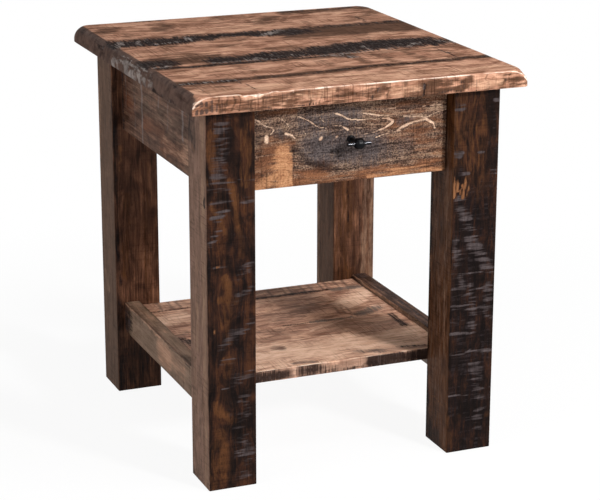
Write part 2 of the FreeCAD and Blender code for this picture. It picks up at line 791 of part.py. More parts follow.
def slides():
    middle_height = "(slide_height - 2 * slide_sheet - 2 * slide_running_gap)"
    drawer_height = "(slide_height - 4 * slide_sheet - 4 * slide_running_gap)"
    for label, side in SIDES:
        channel(f"slide_case_{label}", side, "0", "slide_height",
                "slide_case_flange", True, [case_screw_holes])
        channel(f"slide_middle_{label}", side, "slide_middle_offset", middle_height,
                "slide_middle_flange", True, [])
        channel(f"slide_drawer_{label}", side, "(slide_width - slide_drawer_flange)", drawer_height,
                "slide_drawer_flange", False, [drawer_screw_holes])


slides()

# Drawer: an inset show front screwed to a dovetailed box


def show_front():
    body = doc.addObject("PartDesign::Body", "drawer_front_body")
    width = f"(2 * {FRONT_HALF})"
    height = f"({FRONT_TOP} - {FRONT_BOTTOM})"
    points = [("0", "0"), (width, "0"), (width, height), ("0", height)]
    pad = padded(body, outline(body, "drawer_front_outline", "XZ_Plane", points), "drawer_front_thickness")
    doc.recompute()
    face = pad.Shape.BoundBox.YMin
    rounded(body, pad, "drawer_front_round", lambda edge: abs(edge.BoundBox.YMax - face) < TOLERANCE)
    put(body, negated(FRONT_HALF), FRONT_BACK, FRONT_BOTTOM)
    keep(cut("drawer_front", body, [front_screw_holes, knob_screw_holes]), "drawer_front")


def tails(name, side, gap):
    """The dovetails at both ends of one drawer side, wide at the outside."""
    made = []
    x = sided(side, BOX_INSIDE, BOX_HALF)
    pitch = f"(({BOX_TOP} - {BOX_BOTTOM}) / {TAIL_COUNT})"
    ends = (
        ("front", FRONT_BACK, f"({FRONT_BACK} + box_board)", "tail_wide", "tail_narrow"),
        ("back", f"({BOX_BACK} - box_board)", BOX_BACK, "tail_narrow", "tail_wide"),
    )
    for end, low, high, low_width, high_width in ends:
        for k in range(TAIL_COUNT):
            middle = f"({BOX_BOTTOM} + {pitch} * ({k} + 1 / 2))"
            tail = doc.addObject("Part::Wedge", f"{name}_{end}_{k}")
            for first, second, formula in (("Xmin", "X2min", x[0]), ("Xmax", "X2max", x[1])):
                tail.setExpression(first, bound(formula))
                tail.setExpression(second, bound(formula))
            tail.setExpression("Ymin", bound(low))
            tail.setExpression("Ymax", bound(high))
            tail.setExpression("Zmin", bound(f"{middle} - {low_width} / 2 - {gap}"))
            tail.setExpression("Zmax", bound(f"{middle} + {low_width} / 2 + {gap}"))
            tail.setExpression("Z2min", bound(f"{middle} - {high_width} / 2 - {gap}"))
            tail.setExpression("Z2max", bound(f"{middle} + {high_width} / 2 + {gap}"))
            made.append(tail)
    return made


def drawer_box():
    z = (BOX_BOTTOM, BOX_TOP)
    inside_y = (f"({FRONT_BACK} + box_board)", f"({BOX_BACK} - box_board)")
    panel_z = (PANEL_BOTTOM, PANEL_TOP)
    panel = block(
        "drawer_bottom", spread(f"({BOX_INSIDE} + panel_groove - panel_clearance)"),
        grown(inside_y, "panel_groove - panel_clearance"), panel_z,
    )
    keep(panel, "drawer_bottom")
    groove = block(
        "drawer_groove", spread(f"({BOX_INSIDE} + panel_groove)"), grown(inside_y, "panel_groove"),
        grown(panel_z, "panel_clearance"),
    )
    sockets = []
    for label, side in SIDES:
        straight = block(f"drawer_side_{label}_straight", sided(side, BOX_INSIDE, BOX_HALF), inside_y, z)
        whole = joined(f"drawer_side_{label}_whole", [straight] + tails(f"tail_{label}", side, "0"))
        keep(cut(f"drawer_side_{label}", whole, [groove, drawer_screw_holes]), f"drawer_side_{label}")
        sockets += tails(f"socket_{label}", side, "glue_gap")
    ends = {
        "front": (FRONT_BACK, inside_y[0], [front_screw_holes, knob_screw_holes]),
        "back": (inside_y[1], BOX_BACK, []),
    }
    for label, (low, high, holes) in ends.items():
        board = block(f"drawer_box_{label}_blank", spread(BOX_HALF), (low, high), z)
        keep(cut(f"drawer_box_{label}", board, sockets + [groove] + holes), f"drawer_box_{label}")


def bumpers():
    dots = []
    for label, side in SIDES:
        x = mirrored_x(side, f"({FRONT_HALF} - bumper_inset)")
        place = (x, FRONT_BACK, f"({UNDER_TOP} - rail_thickness / 2)")
        dots.append(rod(f"bumper_{label}", "bumper_radius", "bumper_thickness", place, "+y"))
    keep(joined("drawer_bumpers", dots), "drawer_bumpers")


show_front()
drawer_box()
bumpers()

# Knob: the foot, neck and barrel are one casting, and a bar runs through the barrel


def knob():
    turned = doc.addObject("PartDesign::Body", "knob_turned")
    points = [
        ("0", "0"), ("knob_foot_radius", "0"), ("knob_foot_radius", "knob_foot_height"),
        ("knob_neck_radius", "knob_foot_height + (knob_foot_radius - knob_neck_radius) / 2"),
        ("knob_neck_radius", "knob_standoff"), ("0", "knob_standoff"),
    ]
    turning = turned.newObject("PartDesign::Revolution", "knob_turning")
    turning.Profile = outline(turned, "knob_profile", "XY_Plane", points)
    turning.ReferenceAxis = (turning.Profile[0], ["V_Axis"])
    turning.Angle = 360
    turned.Placement = FreeCAD.Placement(FreeCAD.Vector(), FreeCAD.Rotation(FreeCAD.Vector(0, 0, 1), 180))
    put(turned, "0", FRONT_FACE, KNOB_Z)
    centre = ("(-knob_barrel_length / 2)", KNOB_CENTRE_Y, KNOB_Z)
    drum = rod("knob_drum", "knob_barrel_radius", "knob_barrel_length", centre, "+x")
    barrel = eased("knob_barrel", drum, "knob_barrel_round", lambda edge: edge.BoundBox.XLength < TOLERANCE)
    start = ("(-knob_bar_length / 2)", KNOB_CENTRE_Y, KNOB_Z)
    space = rod("knob_bar_space", "knob_bar_radius + knob_bar_clearance", "knob_bar_length", start, "+x")
    casting = joined("knob_casting", [turned, barrel])
    keep(cut("knob_body", casting, [space, knob_screw_holes]), "knob_body")
    rod_blank = rod("knob_bar_rod", "knob_bar_radius", "knob_bar_length", start, "+x")
    bar = eased("knob_bar", rod_blank, "knob_bar_round", lambda edge: edge.BoundBox.XLength < TOLERANCE)
    keep(bar, "knob_bar")


knob()

doc.recompute()

for item in doc.Objects:
    if "Invalid" in item.State or "Error" in item.State:
        raise RuntimeError(f"{item.Label} failed: {item.State}")
for piece in pieces:
    if piece.Shape.isNull() or not piece.Shape.isValid() or not piece.Shape.Solids:
        raise RuntimeError(f"{piece.Label} has no valid solid")

os.makedirs("parts", exist_ok=True)
for piece in pieces:
    piece.Shape.exportStep(f"parts/{piece.Label}.step")
    box = piece.Shape.BoundBox
    print(
        f"{piece.Label}: {len(piece.Shape.Solids)} solids, {piece.Shape.Volume / 1000:.1f} cm3, "
        f"x {box.XMin:.1f} {box.XMax:.1f}, y {box.YMin:.1f} {box.YMax:.1f}, z {box.ZMin:.1f} {box.ZMax:.1f}"
    )
print(f"{len(pieces)} sub-parts")
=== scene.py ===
import math

import bpy
import numpy as np
from mathutils import Matrix, Vector


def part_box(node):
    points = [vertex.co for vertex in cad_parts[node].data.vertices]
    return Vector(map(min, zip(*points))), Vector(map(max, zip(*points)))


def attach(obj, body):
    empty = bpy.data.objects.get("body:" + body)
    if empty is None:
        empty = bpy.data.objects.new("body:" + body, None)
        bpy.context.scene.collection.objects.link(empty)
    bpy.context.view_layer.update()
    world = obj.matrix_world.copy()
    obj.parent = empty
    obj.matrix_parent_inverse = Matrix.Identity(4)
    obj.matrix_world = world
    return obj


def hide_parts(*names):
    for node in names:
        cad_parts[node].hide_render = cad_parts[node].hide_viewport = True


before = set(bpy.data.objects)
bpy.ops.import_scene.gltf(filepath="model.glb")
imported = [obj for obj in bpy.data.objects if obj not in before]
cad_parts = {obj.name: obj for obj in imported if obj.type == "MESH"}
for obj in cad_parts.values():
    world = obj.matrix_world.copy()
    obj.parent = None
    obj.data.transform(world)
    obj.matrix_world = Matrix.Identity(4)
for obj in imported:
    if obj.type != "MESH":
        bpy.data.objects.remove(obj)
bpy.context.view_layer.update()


# Camera: stands left of the table and a little above it, a long lens as a product photograph has.
# The lens and the place were worked out from the table's corners in the photograph.
scene = bpy.context.scene
CAMERA_TURN = math.radians(-22.33)
CAMERA_RISE = math.radians(16.98)
CAMERA_ROLL = math.radians(0.11)
CAMERA_DISTANCE = 3.252
CAMERA_TARGET = Vector((0.0189, 0.0, 0.2745))
LENS_MM = 120.66

towards = Vector((
    math.sin(CAMERA_TURN) * math.cos(CAMERA_RISE),
    -math.cos(CAMERA_TURN) * math.cos(CAMERA_RISE),
    math.sin(CAMERA_RISE),
))
level = Vector((math.cos(CAMERA_TURN), math.sin(CAMERA_TURN), 0.0))
upright = towards.cross(level)
camera_right = level * math.cos(CAMERA_ROLL) + upright * math.sin(CAMERA_ROLL)
camera_up = upright * math.cos(CAMERA_ROLL) - level * math.sin(CAMERA_ROLL)

lens = bpy.data.cameras.new("camera")
lens.sensor_width = 36.0
lens.lens = LENS_MM
lens.clip_end = 60.0
camera = bpy.data.objects.new("camera", lens)
camera.matrix_world = Matrix.Translation(CAMERA_TARGET + towards * CAMERA_DISTANCE) @ (
    Matrix((camera_right, camera_up, towards)).transposed().to_4x4()
)
scene.collection.objects.link(camera)
scene.camera = camera
scene.view_settings.view_transform = "Standard"


# Studio: a plain white room. The main lamp stands low on the right in front, a wide one hangs
# overhead, one fills from the left, and a weak one behind keeps the far side from going black.
def add(tree, kind, sockets=None, stops=None, **settings):
    """Adds one node, sets its properties, its colour ramp's stops, and its sockets' values or links."""
    made = tree.nodes.new(kind)
    for name, value in settings.items():
        setattr(made, name, value)
    for place, (position, colour) in enumerate(stops or []):
        ramp = made.color_ramp.elements
        stop = ramp[place] if place < len(ramp) else ramp.new(position)
        stop.position = position
        stop.color = colour
    for socket, value in (sockets or {}).items():
        if isinstance(value, bpy.types.NodeSocket):
            tree.links.new(value, made.inputs[socket])
        else:
            made.inputs[socket].default_value = value
    return made


def linear(code, alpha=1.0):
    """Turns an sRGB hex value into the linear colour that a shader takes."""
    parts = [int(code[start:start + 2], 16) / 255 for start in (1, 3, 5)]
    light = [part / 12.92 if part <= 0.04045 else ((part + 0.055) / 1.055) ** 2.4 for part in parts]
    return (*light, alpha)


def new_material(name):
    """A material whose node tree is still empty, and that tree."""
    made = bpy.data.materials.new(name)
    made.use_nodes = True
    made.node_tree.nodes.clear()
    return made, made.node_tree


def seen_directly(tree):
    """1 where the camera looks, also by a mirror or through glass, and 0 where light falls on things."""
    path = add(tree, "ShaderNodeLightPath").outputs
    seen = add(tree, "ShaderNodeMath", {0: path["Is Camera Ray"], 1: path["Is Glossy Ray"]}, operation="MAXIMUM")
    return add(tree, "ShaderNodeMath", {
        0: seen.outputs[0], 1: path["Is Transmission Ray"]}, operation="MAXIMUM").outputs[0]


# The room looks pure white, and lights the table far more weakly than it looks
ROOM_LIGHT = 0.2
world = bpy.data.worlds.new("white_room")
scene.world = world
world.use_nodes = True
tree = world.node_tree
tree.nodes.clear()
room_light = add(tree, "ShaderNodeBackground", {"Color": linear("#FFFFFF"), "Strength": ROOM_LIGHT})
room_white = add(tree, "ShaderNodeBackground", {"Color": linear("#FFFFFF"), "Strength": 1.0})
room = add(tree, "ShaderNodeMixShader", {
    0: seen_directly(tree), 1: room_light.outputs[0], 2: room_white.outputs[0]})
add(tree, "ShaderNodeOutputWorld", {"Surface": room.outputs[0]})

LAMPS = {
    # name: (place, aimed at, width, watts)
    "main_lamp": ((1.18, -2.65, 1.7), (0.0, 0.0, 0.35), 0.36, 106.0),
    "overhead_lamp": ((0.95, -1.1, 2.8), (0.0, 0.0, 0.5), 0.8, 28.0),
    "left_fill": ((-3.0, -1.0, 1.4), (0.0, 0.0, 0.3), 1.6, 38.0),
    "back_lamp": ((-0.8, 3.0, 1.6), (0.0, 0.0, 0.4), 1.4, 16.0),
}
for name, (place, aim, width, watts) in LAMPS.items():
    lamp = bpy.data.lights.new(name, "AREA")
    lamp.shape = "SQUARE"
    lamp.size = width
    lamp.energy = watts
    hung = bpy.data.objects.new(name, lamp)
    hung.location = place
    hung.rotation_euler = (Vector(aim) - Vector(place)).to_track_quat("-Z", "Y").to_euler()
    scene.collection.objects.link(hung)

FLOOR_REACH = 14.0
floor_mesh = bpy.data.meshes.new("floor")
floor_mesh.from_pydata(
    [(x * FLOOR_REACH, y * FLOOR_REACH, 0.0) for x, y in ((-1, -1), (1, -1), (1, 1), (-1, 1))],
    [], [(0, 1, 2, 3)],
)
floor = bpy.data.objects.new("floor", floor_mesh)
scene.collection.objects.link(floor)

SHADOW_KEPT_TO, WHITE_FROM = 0.45, 1.3
# Matt white paper: it keeps a soft shadow near the table and turns to plain white further off
paper, tree = new_material("white_paper_floor")
place = add(tree, "ShaderNodeTexCoord")
far = add(tree, "ShaderNodeVectorMath", {0: place.outputs["Object"]}, operation="LENGTH")
fade = add(tree, "ShaderNodeMapRange", {
    "Value": far.outputs["Value"], "From Min": SHADOW_KEPT_TO, "From Max": WHITE_FROM,
    "To Min": 0.92, "To Max": 1.0}, interpolation_type="SMOOTHSTEP")
share = add(tree, "ShaderNodeMath", {0: fade.outputs["Result"], 1: seen_directly(tree)}, operation="MULTIPLY")
matt = add(tree, "ShaderNodeBsdfDiffuse", {"Color": linear("#F4F4F4")})
white = add(tree, "ShaderNodeEmission", {"Color": linear("#FFFFFF"), "Strength": 1.0})
sheet = add(tree, "ShaderNodeMixShader", {0: share.outputs[0], 1: matt.outputs[0], 2: white.outputs[0]})
add(tree, "ShaderNodeOutputMaterial", {"Surface": sheet.outputs[0]})
floor_mesh.materials.append(paper)


# Tabletop: five hickory boards glued edge to edge, 27 mm thick, their grain running left to right.
# Rough-sawn, hand-scraped and toned with dark stain along the seams, then lacquered satin.
# Both ends are rounded over deeply, and the other edges lightly and by hand, so the arris wavers.
def lattice_noise(points, seed):
    """Smooth noise from 0 to 1. Each whole-number lattice point has a value hashed from its place and
    the seed, and a point takes the 8 values around it, blended by 3t squared less 2t cubed."""
    cell = np.floor(points).astype(np.int64)
    t = points - cell
    t = t * t * (3 - 2 * t)
    total = np.zeros(len(points))
    for corner in np.ndindex(2, 2, 2):
        key = (cell + corner) @ np.array([73856093, 19349663, 83492791]) + seed * 26544357
        key = (key ^ (key >> 13)) * 1274126177 & 0x7FFFFFFF
        key = (key ^ (key >> 15)) * 1103515245 & 0x7FFFFFFF
        value = ((key >> 7) & 0xFFFF) / 0xFFFF
        total += value * np.prod(np.where(corner, t, 1 - t), axis=1)
    return total


def layered_noise(points, sizes, seed, layers=3):
    """Lattice noise in layers, each half as large and half as strong as the last; sizes are in mm."""
    total, weight = np.zeros(len(points)), 0.0
    for layer in range(layers):
        total += lattice_noise(points / np.array(sizes) * 2 ** layer + 17.3 * layer, seed + layer) / 2 ** layer
        weight += 1 / 2 ** layer
    return total / weight


def cuts(low, high, step, soft_low, soft_high):
    """Where a side is divided: even steps, and over each rounding rows at equal turns of its arc, about
    a step apart, each at the radius times 1 less the tangent of the turn."""
    rows = [max(4, int(round(soft * 0.8 / step))) for soft in (soft_low, soft_high)]
    arcs = [1 - np.tan(np.arange(count, -1, -1) * math.pi / 4 / count) for count in rows]
    start = low + soft_low * arcs[0] if soft_low else np.array([low])
    end = high - soft_high * arcs[1][::-1] if soft_high else np.array([high])
    count = max(int(round((end[0] - start[-1]) / step)), 1)
    return np.concatenate([start[:-1], np.linspace(start[-1], end[0], count + 1), end[1:]])


def sawn_board(low, high, seams=(None, None), corners=(2, 2, 2, 2), upper=0.0, lower=0.0,
               waver=0.0, groove=0.7, steps=(2.5, 2.5, 2.5), seed=1):
    """A board as a closed grid over its six sides, in its own (length, width, height) mm.

    The plan is a rectangle whose corners have their own radii: in a corner's square, a point keeps
    its distance from the edge while it turns about the corner's centre. The squares at a side's two
    ends share the side in proportion to their radii. The upper and lower arris are rounded the same
    way, in the plane of the edge distance and the height, by radii that waver with noise. seams are
    where a board was cut from a wider slab: there the sides stay plane and the face drops into a V as
    deep as groove. Gives points, outward directions, quads and the arris weight, which places the pale
    line of worn wood and painted highlight.
    """
    low, high = np.array(low, float), np.array(high, float)
    start = low[1] if seams[0] is None else seams[0]
    end = high[1] if seams[1] is None else seams[1]
    arris, seam_round = max(upper, lower), 1.6
    a = cuts(low[0], high[0], steps[0], max(arris, corners[0], corners[2]), max(arris, corners[1], corners[3]))
    b = cuts(start, end, steps[1], max(arris, *corners[:2]) if seams[0] is None else seam_round,
             max(arris, *corners[2:]) if seams[1] is None else seam_round)
    c = cuts(low[2], high[2], steps[2], lower, upper)
    number = np.full((len(a), len(b), len(c)), -1)
    shell = np.ones(number.shape, bool)
    shell[1:-1, 1:-1, 1:-1] = False
    number[shell] = np.arange(shell.sum())
    i, j, k = np.nonzero(shell)
    points = np.stack([a[i], b[j], c[k]], axis=1)

    quads = []
    for axis in range(3):
        for side in (0, -1):
            grid = np.take(number, side, axis=axis)
            ring = [grid[:-1, :-1], grid[1:, :-1], grid[1:, 1:], grid[:-1, 1:]]
            if (side == -1) == (axis == 1):
                ring.reverse()
            quads.append(np.stack(ring, axis=-1).reshape(-1, 4))

    quarters = np.maximum(np.array(corners, float), 0.01).reshape(2, 2)
    by_x, by_y = quarters.max(axis=0), quarters.max(axis=1)
    share = by_x[0] / by_x.sum(), by_y[0] / by_y.sum()
    sign = np.where(points[:, :2] < (low + (high - low) * (*share, 0.5))[:2], -1.0, 1.0)
    reach = np.where(sign < 0, points[:, :2] - low[:2], high[:2] - points[:, :2])
    radius = quarters[(sign[:, 1] > 0).astype(int), (sign[:, 0] > 0).astype(int)]
    into = np.clip(radius[:, None] - reach, 0, None)
    in_corner = (into > 0).all(axis=1)
    far = np.maximum(np.linalg.norm(into, axis=1), 1e-9)
    turned = np.where(in_corner[:, None], radius[:, None] - into * (into.max(axis=1) / far)[:, None], reach)
    nearer_x = reach[:, 0] < reach[:, 1]
    out = np.where(in_corner[:, None], into / far[:, None], np.stack([nearer_x, ~nearer_x], axis=1)) * sign
    edge = np.maximum(reach.min(axis=1), 0)

    is_upper = points[:, 2] > (low[2] + high[2]) / 2
    cap_sign = np.where(is_upper, 1.0, -1.0)
    cap = np.where(is_upper, high[2] - points[:, 2], points[:, 2] - low[2])
    wander = 1 + waver * (2 * layered_noise(points, (46, 46, 46), seed + 40) - 1.15)
    soft = np.where(is_upper, upper, lower) * wander
    turn = np.stack([np.maximum(edge, soft) - edge, np.maximum(cap, soft) - cap], axis=1)
    scale = turn.max(axis=1) / np.maximum(np.linalg.norm(turn, axis=1), 1e-9)
    moved = np.maximum(np.stack([edge, cap], axis=1), soft[:, None]) - turn * scale[:, None]
    moved = np.where(soft[:, None] > 0, moved, np.stack([edge, cap], axis=1))

    lean = np.maximum(soft, 0.01)
    facing = np.stack([np.maximum(edge, lean) - edge, np.maximum(cap, lean) - cap], axis=1)
    facing /= np.maximum(np.linalg.norm(facing, axis=1), 1e-9)[:, None]
    shown = np.stack([out[:, 0] * facing[:, 0], out[:, 1] * facing[:, 0], cap_sign * facing[:, 1]], axis=1)
    arris_weight = 4 * (facing[:, 0] * facing[:, 1]) ** 2

    plan = np.where(sign < 0, low[:2] + turned, high[:2] - turned) - out * (moved[:, 0] - edge)[:, None]
    height = points[:, 2] - cap_sign * (moved[:, 1] - cap)
    placed = np.column_stack([plan, height])
    near_seam = np.full(len(placed), 1e3)
    if seams[0] is not None:
        near_seam = np.minimum(near_seam, placed[:, 1] - start)
    if seams[1] is not None:
        near_seam = np.minimum(near_seam, end - placed[:, 1])
    placed -= shown * (groove * np.clip(1 - near_seam / seam_round, 0, 1))[:, None]
    return placed, shown, np.concatenate(quads), arris_weight


SIDES = {
    # side: (axis that it faces, sign, its across axis, its upright axis)
    "up": (2, 1, 0, 1), "down": (2, -1, 0, 1), "front": (1, -1, 0, 2),
    "back": (1, 1, 0, 2), "left": (0, -1, 1, 2), "right": (0, 1, 1, 2),
}
CHATTER_PITCH = 7
# The charcoal stain also carries a painted shadow, the bare stain painted light and the rubbed stain a painted
# highlight
STAINS = ("umber", "bare_and_lit", "brown", "soot_and_shade", "ash", "rubbed_and_highlight")
FLAT = np.eye(3)
FACING_FRONT = np.array([[1.0, 0, 0], [0, 0, 1], [0, -1, 0]])
FACING_SIDE = np.array([[0.0, 1, 0], [0, 0, 1], [1, 0, 0]])


def brushed(u, v, strokes):
    """How much of a stain lies at each point: the most, over brush strokes from (u0, v0) to (u1, v1), of
    the stroke's strength times 1 less the square of the distance over its half width."""
    most = np.zeros(len(u))
    for u0, v0, u1, v1, half_width, strength in strokes:
        run, rise = u1 - u0, v1 - v0
        t = np.clip(((u - u0) * run + (v - v0) * rise) / max(run * run + rise * rise, 1e-6), 0, 1)
        gone = ((u - u0 - t * run) ** 2 + (v - v0 - t * rise) ** 2) / half_width ** 2
        most = np.maximum(most, strength * np.clip(1 - gone, 0, 1))
    return most


def wooden_piece(name, boards, turn, grain, marks, body, nodes, material, seed,
                 chatter=0.22, wild=0.5, ragged=5.0, rubbed_and_highlight=0.5, dents=(), knots=()):
    """Joins boards into one piece, presses the saw's chatter and the dents into their faces, paints
    the stains on, and hangs the piece on its body in place of the CAD nodes.

    turn takes the boards' own axes to the table's. grain says which of their own axes the fibres
    follow, and the wider of the other two is the fibres' second axis. The chatter is ridges square to
    the grain, one every CHATTER_PITCH mm or so, as deep as chatter, where slow noise lets it. A knot,
    (along, across, its reach along and across, pull), bows the fibres round it: nearer than its
    reach, their distance across from it shrinks by pull times a bell curve of the distance. Stains
    lie along strokes whose edges noise shifts by up to ragged mm, and brown is laid to a clean line.
    A side without strokes gets clouds of stain as strong as wild. The rubbed amount is how pale the
    upper front arris is painted: partly wood worn through the stain, partly a painted highlight."""
    points, facings, quads, arris_weight, first = [], [], [], [], 0
    for placed, shown, faces, board_arris_weight in boards:
        points.append(placed)
        facings.append(shown)
        quads.append(faces + first)
        arris_weight.append(board_arris_weight)
        first += len(placed)
    points, facings = np.concatenate(points), np.concatenate(facings)
    quads, arris_weight = np.concatenate(quads), np.concatenate(arris_weight)
    across_axes = sorted({0, 1, 2} - {grain}, key=lambda axis: -np.ptp(points[:, axis]))
    fibre = points[:, [grain, *across_axes]]
    for along, across, reach_along, reach_across, pull in knots:
        away = fibre[:, 1] - across
        bell = np.exp(-((fibre[:, 0] - along) / reach_along) ** 2 - (away / reach_across) ** 2)
        fibre[:, 1] = across + away * (1 - pull * bell)
    fibre = fibre + 1000.0 * (seed % 17)
    bow = fibre[:, 0] + 3 * (2 * lattice_noise(fibre / 60, seed + 3) - 1)
    ridge = 0.5 + 0.5 * np.sin(2 * math.pi * bow / CHATTER_PITCH + 4 * lattice_noise(fibre / 25, seed + 5))
    patch = np.clip(3 * layered_noise(fibre, (70, 40, 40), seed + 6) - 1.1, 0, 1)
    scrape = layered_noise(fibre, (120, 16, 16), seed + 7)
    relief = chatter * (0.6 * patch * ridge + 0.8 * scrape)
    world = points @ turn
    faced = facings @ turn
    for (side, u0, v0, u1, v1, half_width, depth) in dents:
        axis, sign, across, upright = SIDES[side]
        pressed = brushed(world[:, across], world[:, upright], [(u0, v0, u1, v1, half_width, 1.0)])
        relief += depth * pressed * (sign * faced[:, axis] > 0.3)
    world = world - faced * relief[:, None]

    masks = {stain: np.zeros(len(world)) for stain in STAINS}
    for side, (axis, sign, across, upright) in SIDES.items():
        near = np.flatnonzero(sign * faced[:, axis] > 0.05)
        weight = (sign * faced[near, axis]) ** 2
        if side in marks:
            u, v = world[near, across], world[near, upright]
            place = np.stack([u, v, np.zeros(len(u))], axis=1)
            torn_u = u + ragged * (2 * layered_noise(place, (14, 14, 14), seed, 2) - 1)
            torn_v = v + ragged * (2 * layered_noise(place, (14, 14, 14), seed + 9, 2) - 1)
        for number, stain in enumerate(STAINS[:-1] if side not in marks else STAINS):
            if side in marks:
                across_it, up_it = (u, v) if stain == "brown" else (torn_u, torn_v)
                amount = brushed(across_it, up_it, marks[side].get(stain, []))
            else:
                cloud = layered_noise(fibre[near], (150, 34, 34), seed + 60 + 5 * number, 2)
                amount = wild * np.clip((cloud - 0.56) * 5, 0, 1)
            masks[stain][near] += weight * amount
    # Painted highlight: the arris facing up and forwards is painted pale, partly as worn wood, partly as the lamps'
    # highlight
    upwards = np.hypot(faced[:, 0], faced[:, 2]) * (faced[:, 2] > 0.2)
    front_arris = np.clip(9 * (0.7 * upwards - 0.7 * faced[:, 1]) - 7.9, 0, 1)
    patches = lattice_noise(fibre / np.array((22, 9, 9)), seed + 80)
    masks["rubbed_and_highlight"] += rubbed_and_highlight * arris_weight * front_arris * (0.4 + 1.2 * patches)

    mesh = bpy.data.meshes.new(name)
    mesh.vertices.add(len(world))
    mesh.vertices.foreach_set("co", (world / 1000).ravel())
    mesh.loops.add(quads.size)
    mesh.loops.foreach_set("vertex_index", quads.ravel())
    mesh.polygons.add(len(quads))
    mesh.polygons.foreach_set("loop_start", np.arange(0, quads.size, 4))
    mesh.update(calc_edges=True)
    mesh.attributes.new("grain", "FLOAT_VECTOR", "POINT").data.foreach_set("vector", fibre.ravel())
    for stain in STAINS:
        mesh.attributes.new(stain, "FLOAT", "POINT").data.foreach_set("value", masks[stain])
    mesh.polygons.foreach_set("use_smooth", np.ones(len(quads), bool))
    mesh.set_sharp_from_angle(angle=math.radians(40))
    mesh.materials.append(material)
    piece = bpy.data.objects.new(name, mesh)
    scene.collection.objects.link(piece)
    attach(piece, body)
    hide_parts(*nodes)


def rustic_wood(name, tones, stains, saw_tint, figure=(0.26, 0.2, 0.44, 0.1), fibre_mm=1.3, gloss=0.5,
                saw_depth=0.5, saw_shade=0.34, speckle=0.0, blotch=0.3, coat=0.12, dash=(1.8, 24)):
    """Sawn hardwood under stain and satin lacquer, on the grain attribute in mm.

    Fibres are noise 60 times longer than wide, streaks and clouds are broader noise, the growth
    rings are a slow noise folded into bands, pores are short dark dashes, blotches are where the
    stain went in deep, and the saw's lines are noise stretched square to the grain. figure is how
    much the fibres, streaks, clouds and rings each give to the tone. The stains are in the order
    they were laid on, each with a dark and a light colour, the noise that frays it (fibres, saw
    lines or short dashes), how far, and how soft its edge is."""
    made, tree = new_material(name)
    grain = add(tree, "ShaderNodeAttribute", attribute_name="grain").outputs["Vector"]

    def pattern(sizes, detail, roughness=0.55, distortion=0.0):
        """Noise whose lumps measure the sizes, in mm, along, across and through the board."""
        scaled = add(tree, "ShaderNodeVectorMath", {
            0: grain, 1: tuple(1 / size for size in sizes)}, operation="MULTIPLY")
        return add(tree, "ShaderNodeTexNoise", {
            "Vector": scaled.outputs[0], "Scale": 1.0, "Detail": detail, "Roughness": roughness,
            "Distortion": distortion}).outputs["Fac"]

    def fitted(value, low, high, to_low=0.0, to_high=1.0):
        """Stretches a value from one range to another, clamped, with soft ends."""
        return add(tree, "ShaderNodeMapRange", {
            "Value": value, "From Min": low, "From Max": high, "To Min": to_low, "To Max": to_high,
        }, interpolation_type="SMOOTHSTEP").outputs["Result"]

    def sums(first, second, operation, third=None):
        """One step of arithmetic on two values, or three."""
        values = {0: first, 1: second} if third is None else {0: first, 1: second, 2: third}
        return add(tree, "ShaderNodeMath", values, operation=operation).outputs[0]

    def mixed(share, under, over, blend_type="MIX"):
        """Lays one colour over another by a share."""
        return add(tree, "ShaderNodeMix", {0: share, 6: under, 7: over},
                   data_type="RGBA", blend_type=blend_type).outputs[2]

    fibres = fitted(pattern((60 * fibre_mm, fibre_mm, fibre_mm), 5, 0.62), 0.33, 0.67)
    streaks = fitted(pattern((130, 7, 7), 3, 0.55, 0.5), 0.36, 0.64)
    cloud = fitted(pattern((44, 19, 19), 4, 0.6, 0.7), 0.34, 0.66)
    slow = pattern((240, 34, 34), 2, 0.5, 0.4)
    rings = sums(sums(slow, 13.0, "MULTIPLY"), 1.0, "PINGPONG")
    fleck = pattern((2.2, 1.8, 1.8), 2, 0.5)
    tone = sums(fibres, figure[0], "MULTIPLY")
    for layer, share in zip((streaks, cloud, rings), figure[1:]):
        tone = sums(layer, share, "MULTIPLY_ADD", tone)
    tone = sums(sums(fleck, 0.5, "SUBTRACT"), speckle, "MULTIPLY_ADD", tone)
    colour = add(tree, "ShaderNodeValToRGB", {"Fac": tone}, stops=[
        (0.14, linear(tones[0])), (0.4, linear(tones[1])), (0.62, linear(tones[2])), (0.88, linear(tones[3])),
    ]).outputs["Color"]
    deep = fitted(pattern((34, 20, 20), 5, 0.65, 1.2), 0.5, 0.66, 0.0, blotch)
    colour = mixed(deep, colour, linear(tones[1]), "MULTIPLY")

    saw = pattern((2.4, 70, 70), 3, 0.6)
    dashes = sums(pattern((dash[0], dash[1], dash[1]), 3, 0.5), 0.06, "SUBTRACT")
    fray = pattern((34, 5, 5), 5, 0.65)
    scratch = sums(fitted(dashes, 0.46, 0.56), fitted(fray, 0.44, 0.58), "MULTIPLY")
    sawn = fitted(pattern((70, 46, 46), 2, 0.5), 0.36, 0.6)
    frays = {"fibres": fray, "saw": saw, "dashes": dashes}
    for stain, (dark, light, kind, reach, softness) in stains.items():
        noise = frays[kind]
        amount = add(tree, "ShaderNodeAttribute", attribute_name=stain).outputs["Fac"]
        frayed = sums(sums(noise, 0.5, "SUBTRACT"), reach, "MULTIPLY_ADD", amount)
        frayed = sums(sums(fray, 0.5, "SUBTRACT"), 0.5 if kind == "dashes" else 1.2, "MULTIPLY_ADD", frayed)
        share = fitted(frayed, 0.5 - softness, 0.5 + softness)
        share = sums(share, fitted(amount, 0.02, 0.3), "MULTIPLY")
        over = mixed(tone, linear(dark), linear(light))
        if stain == "soot_and_shade":
            over = mixed(sums(scratch, saw_depth, "MULTIPLY"), over, linear(saw_tint))
        colour = mixed(share, colour, over)

    pore = fitted(pattern((9, 0.6, 0.6), 2, 0.5), 0.58, 0.7)
    colour = mixed(sums(pore, 0.5, "MULTIPLY"), colour, linear(tones[0]), "MULTIPLY")
    saw_dark = sums(fitted(saw, 0.32, 0.5, saw_shade, 0.0), sawn, "MULTIPLY")
    colour = mixed(saw_dark, colour, linear(tones[0]), "MULTIPLY")

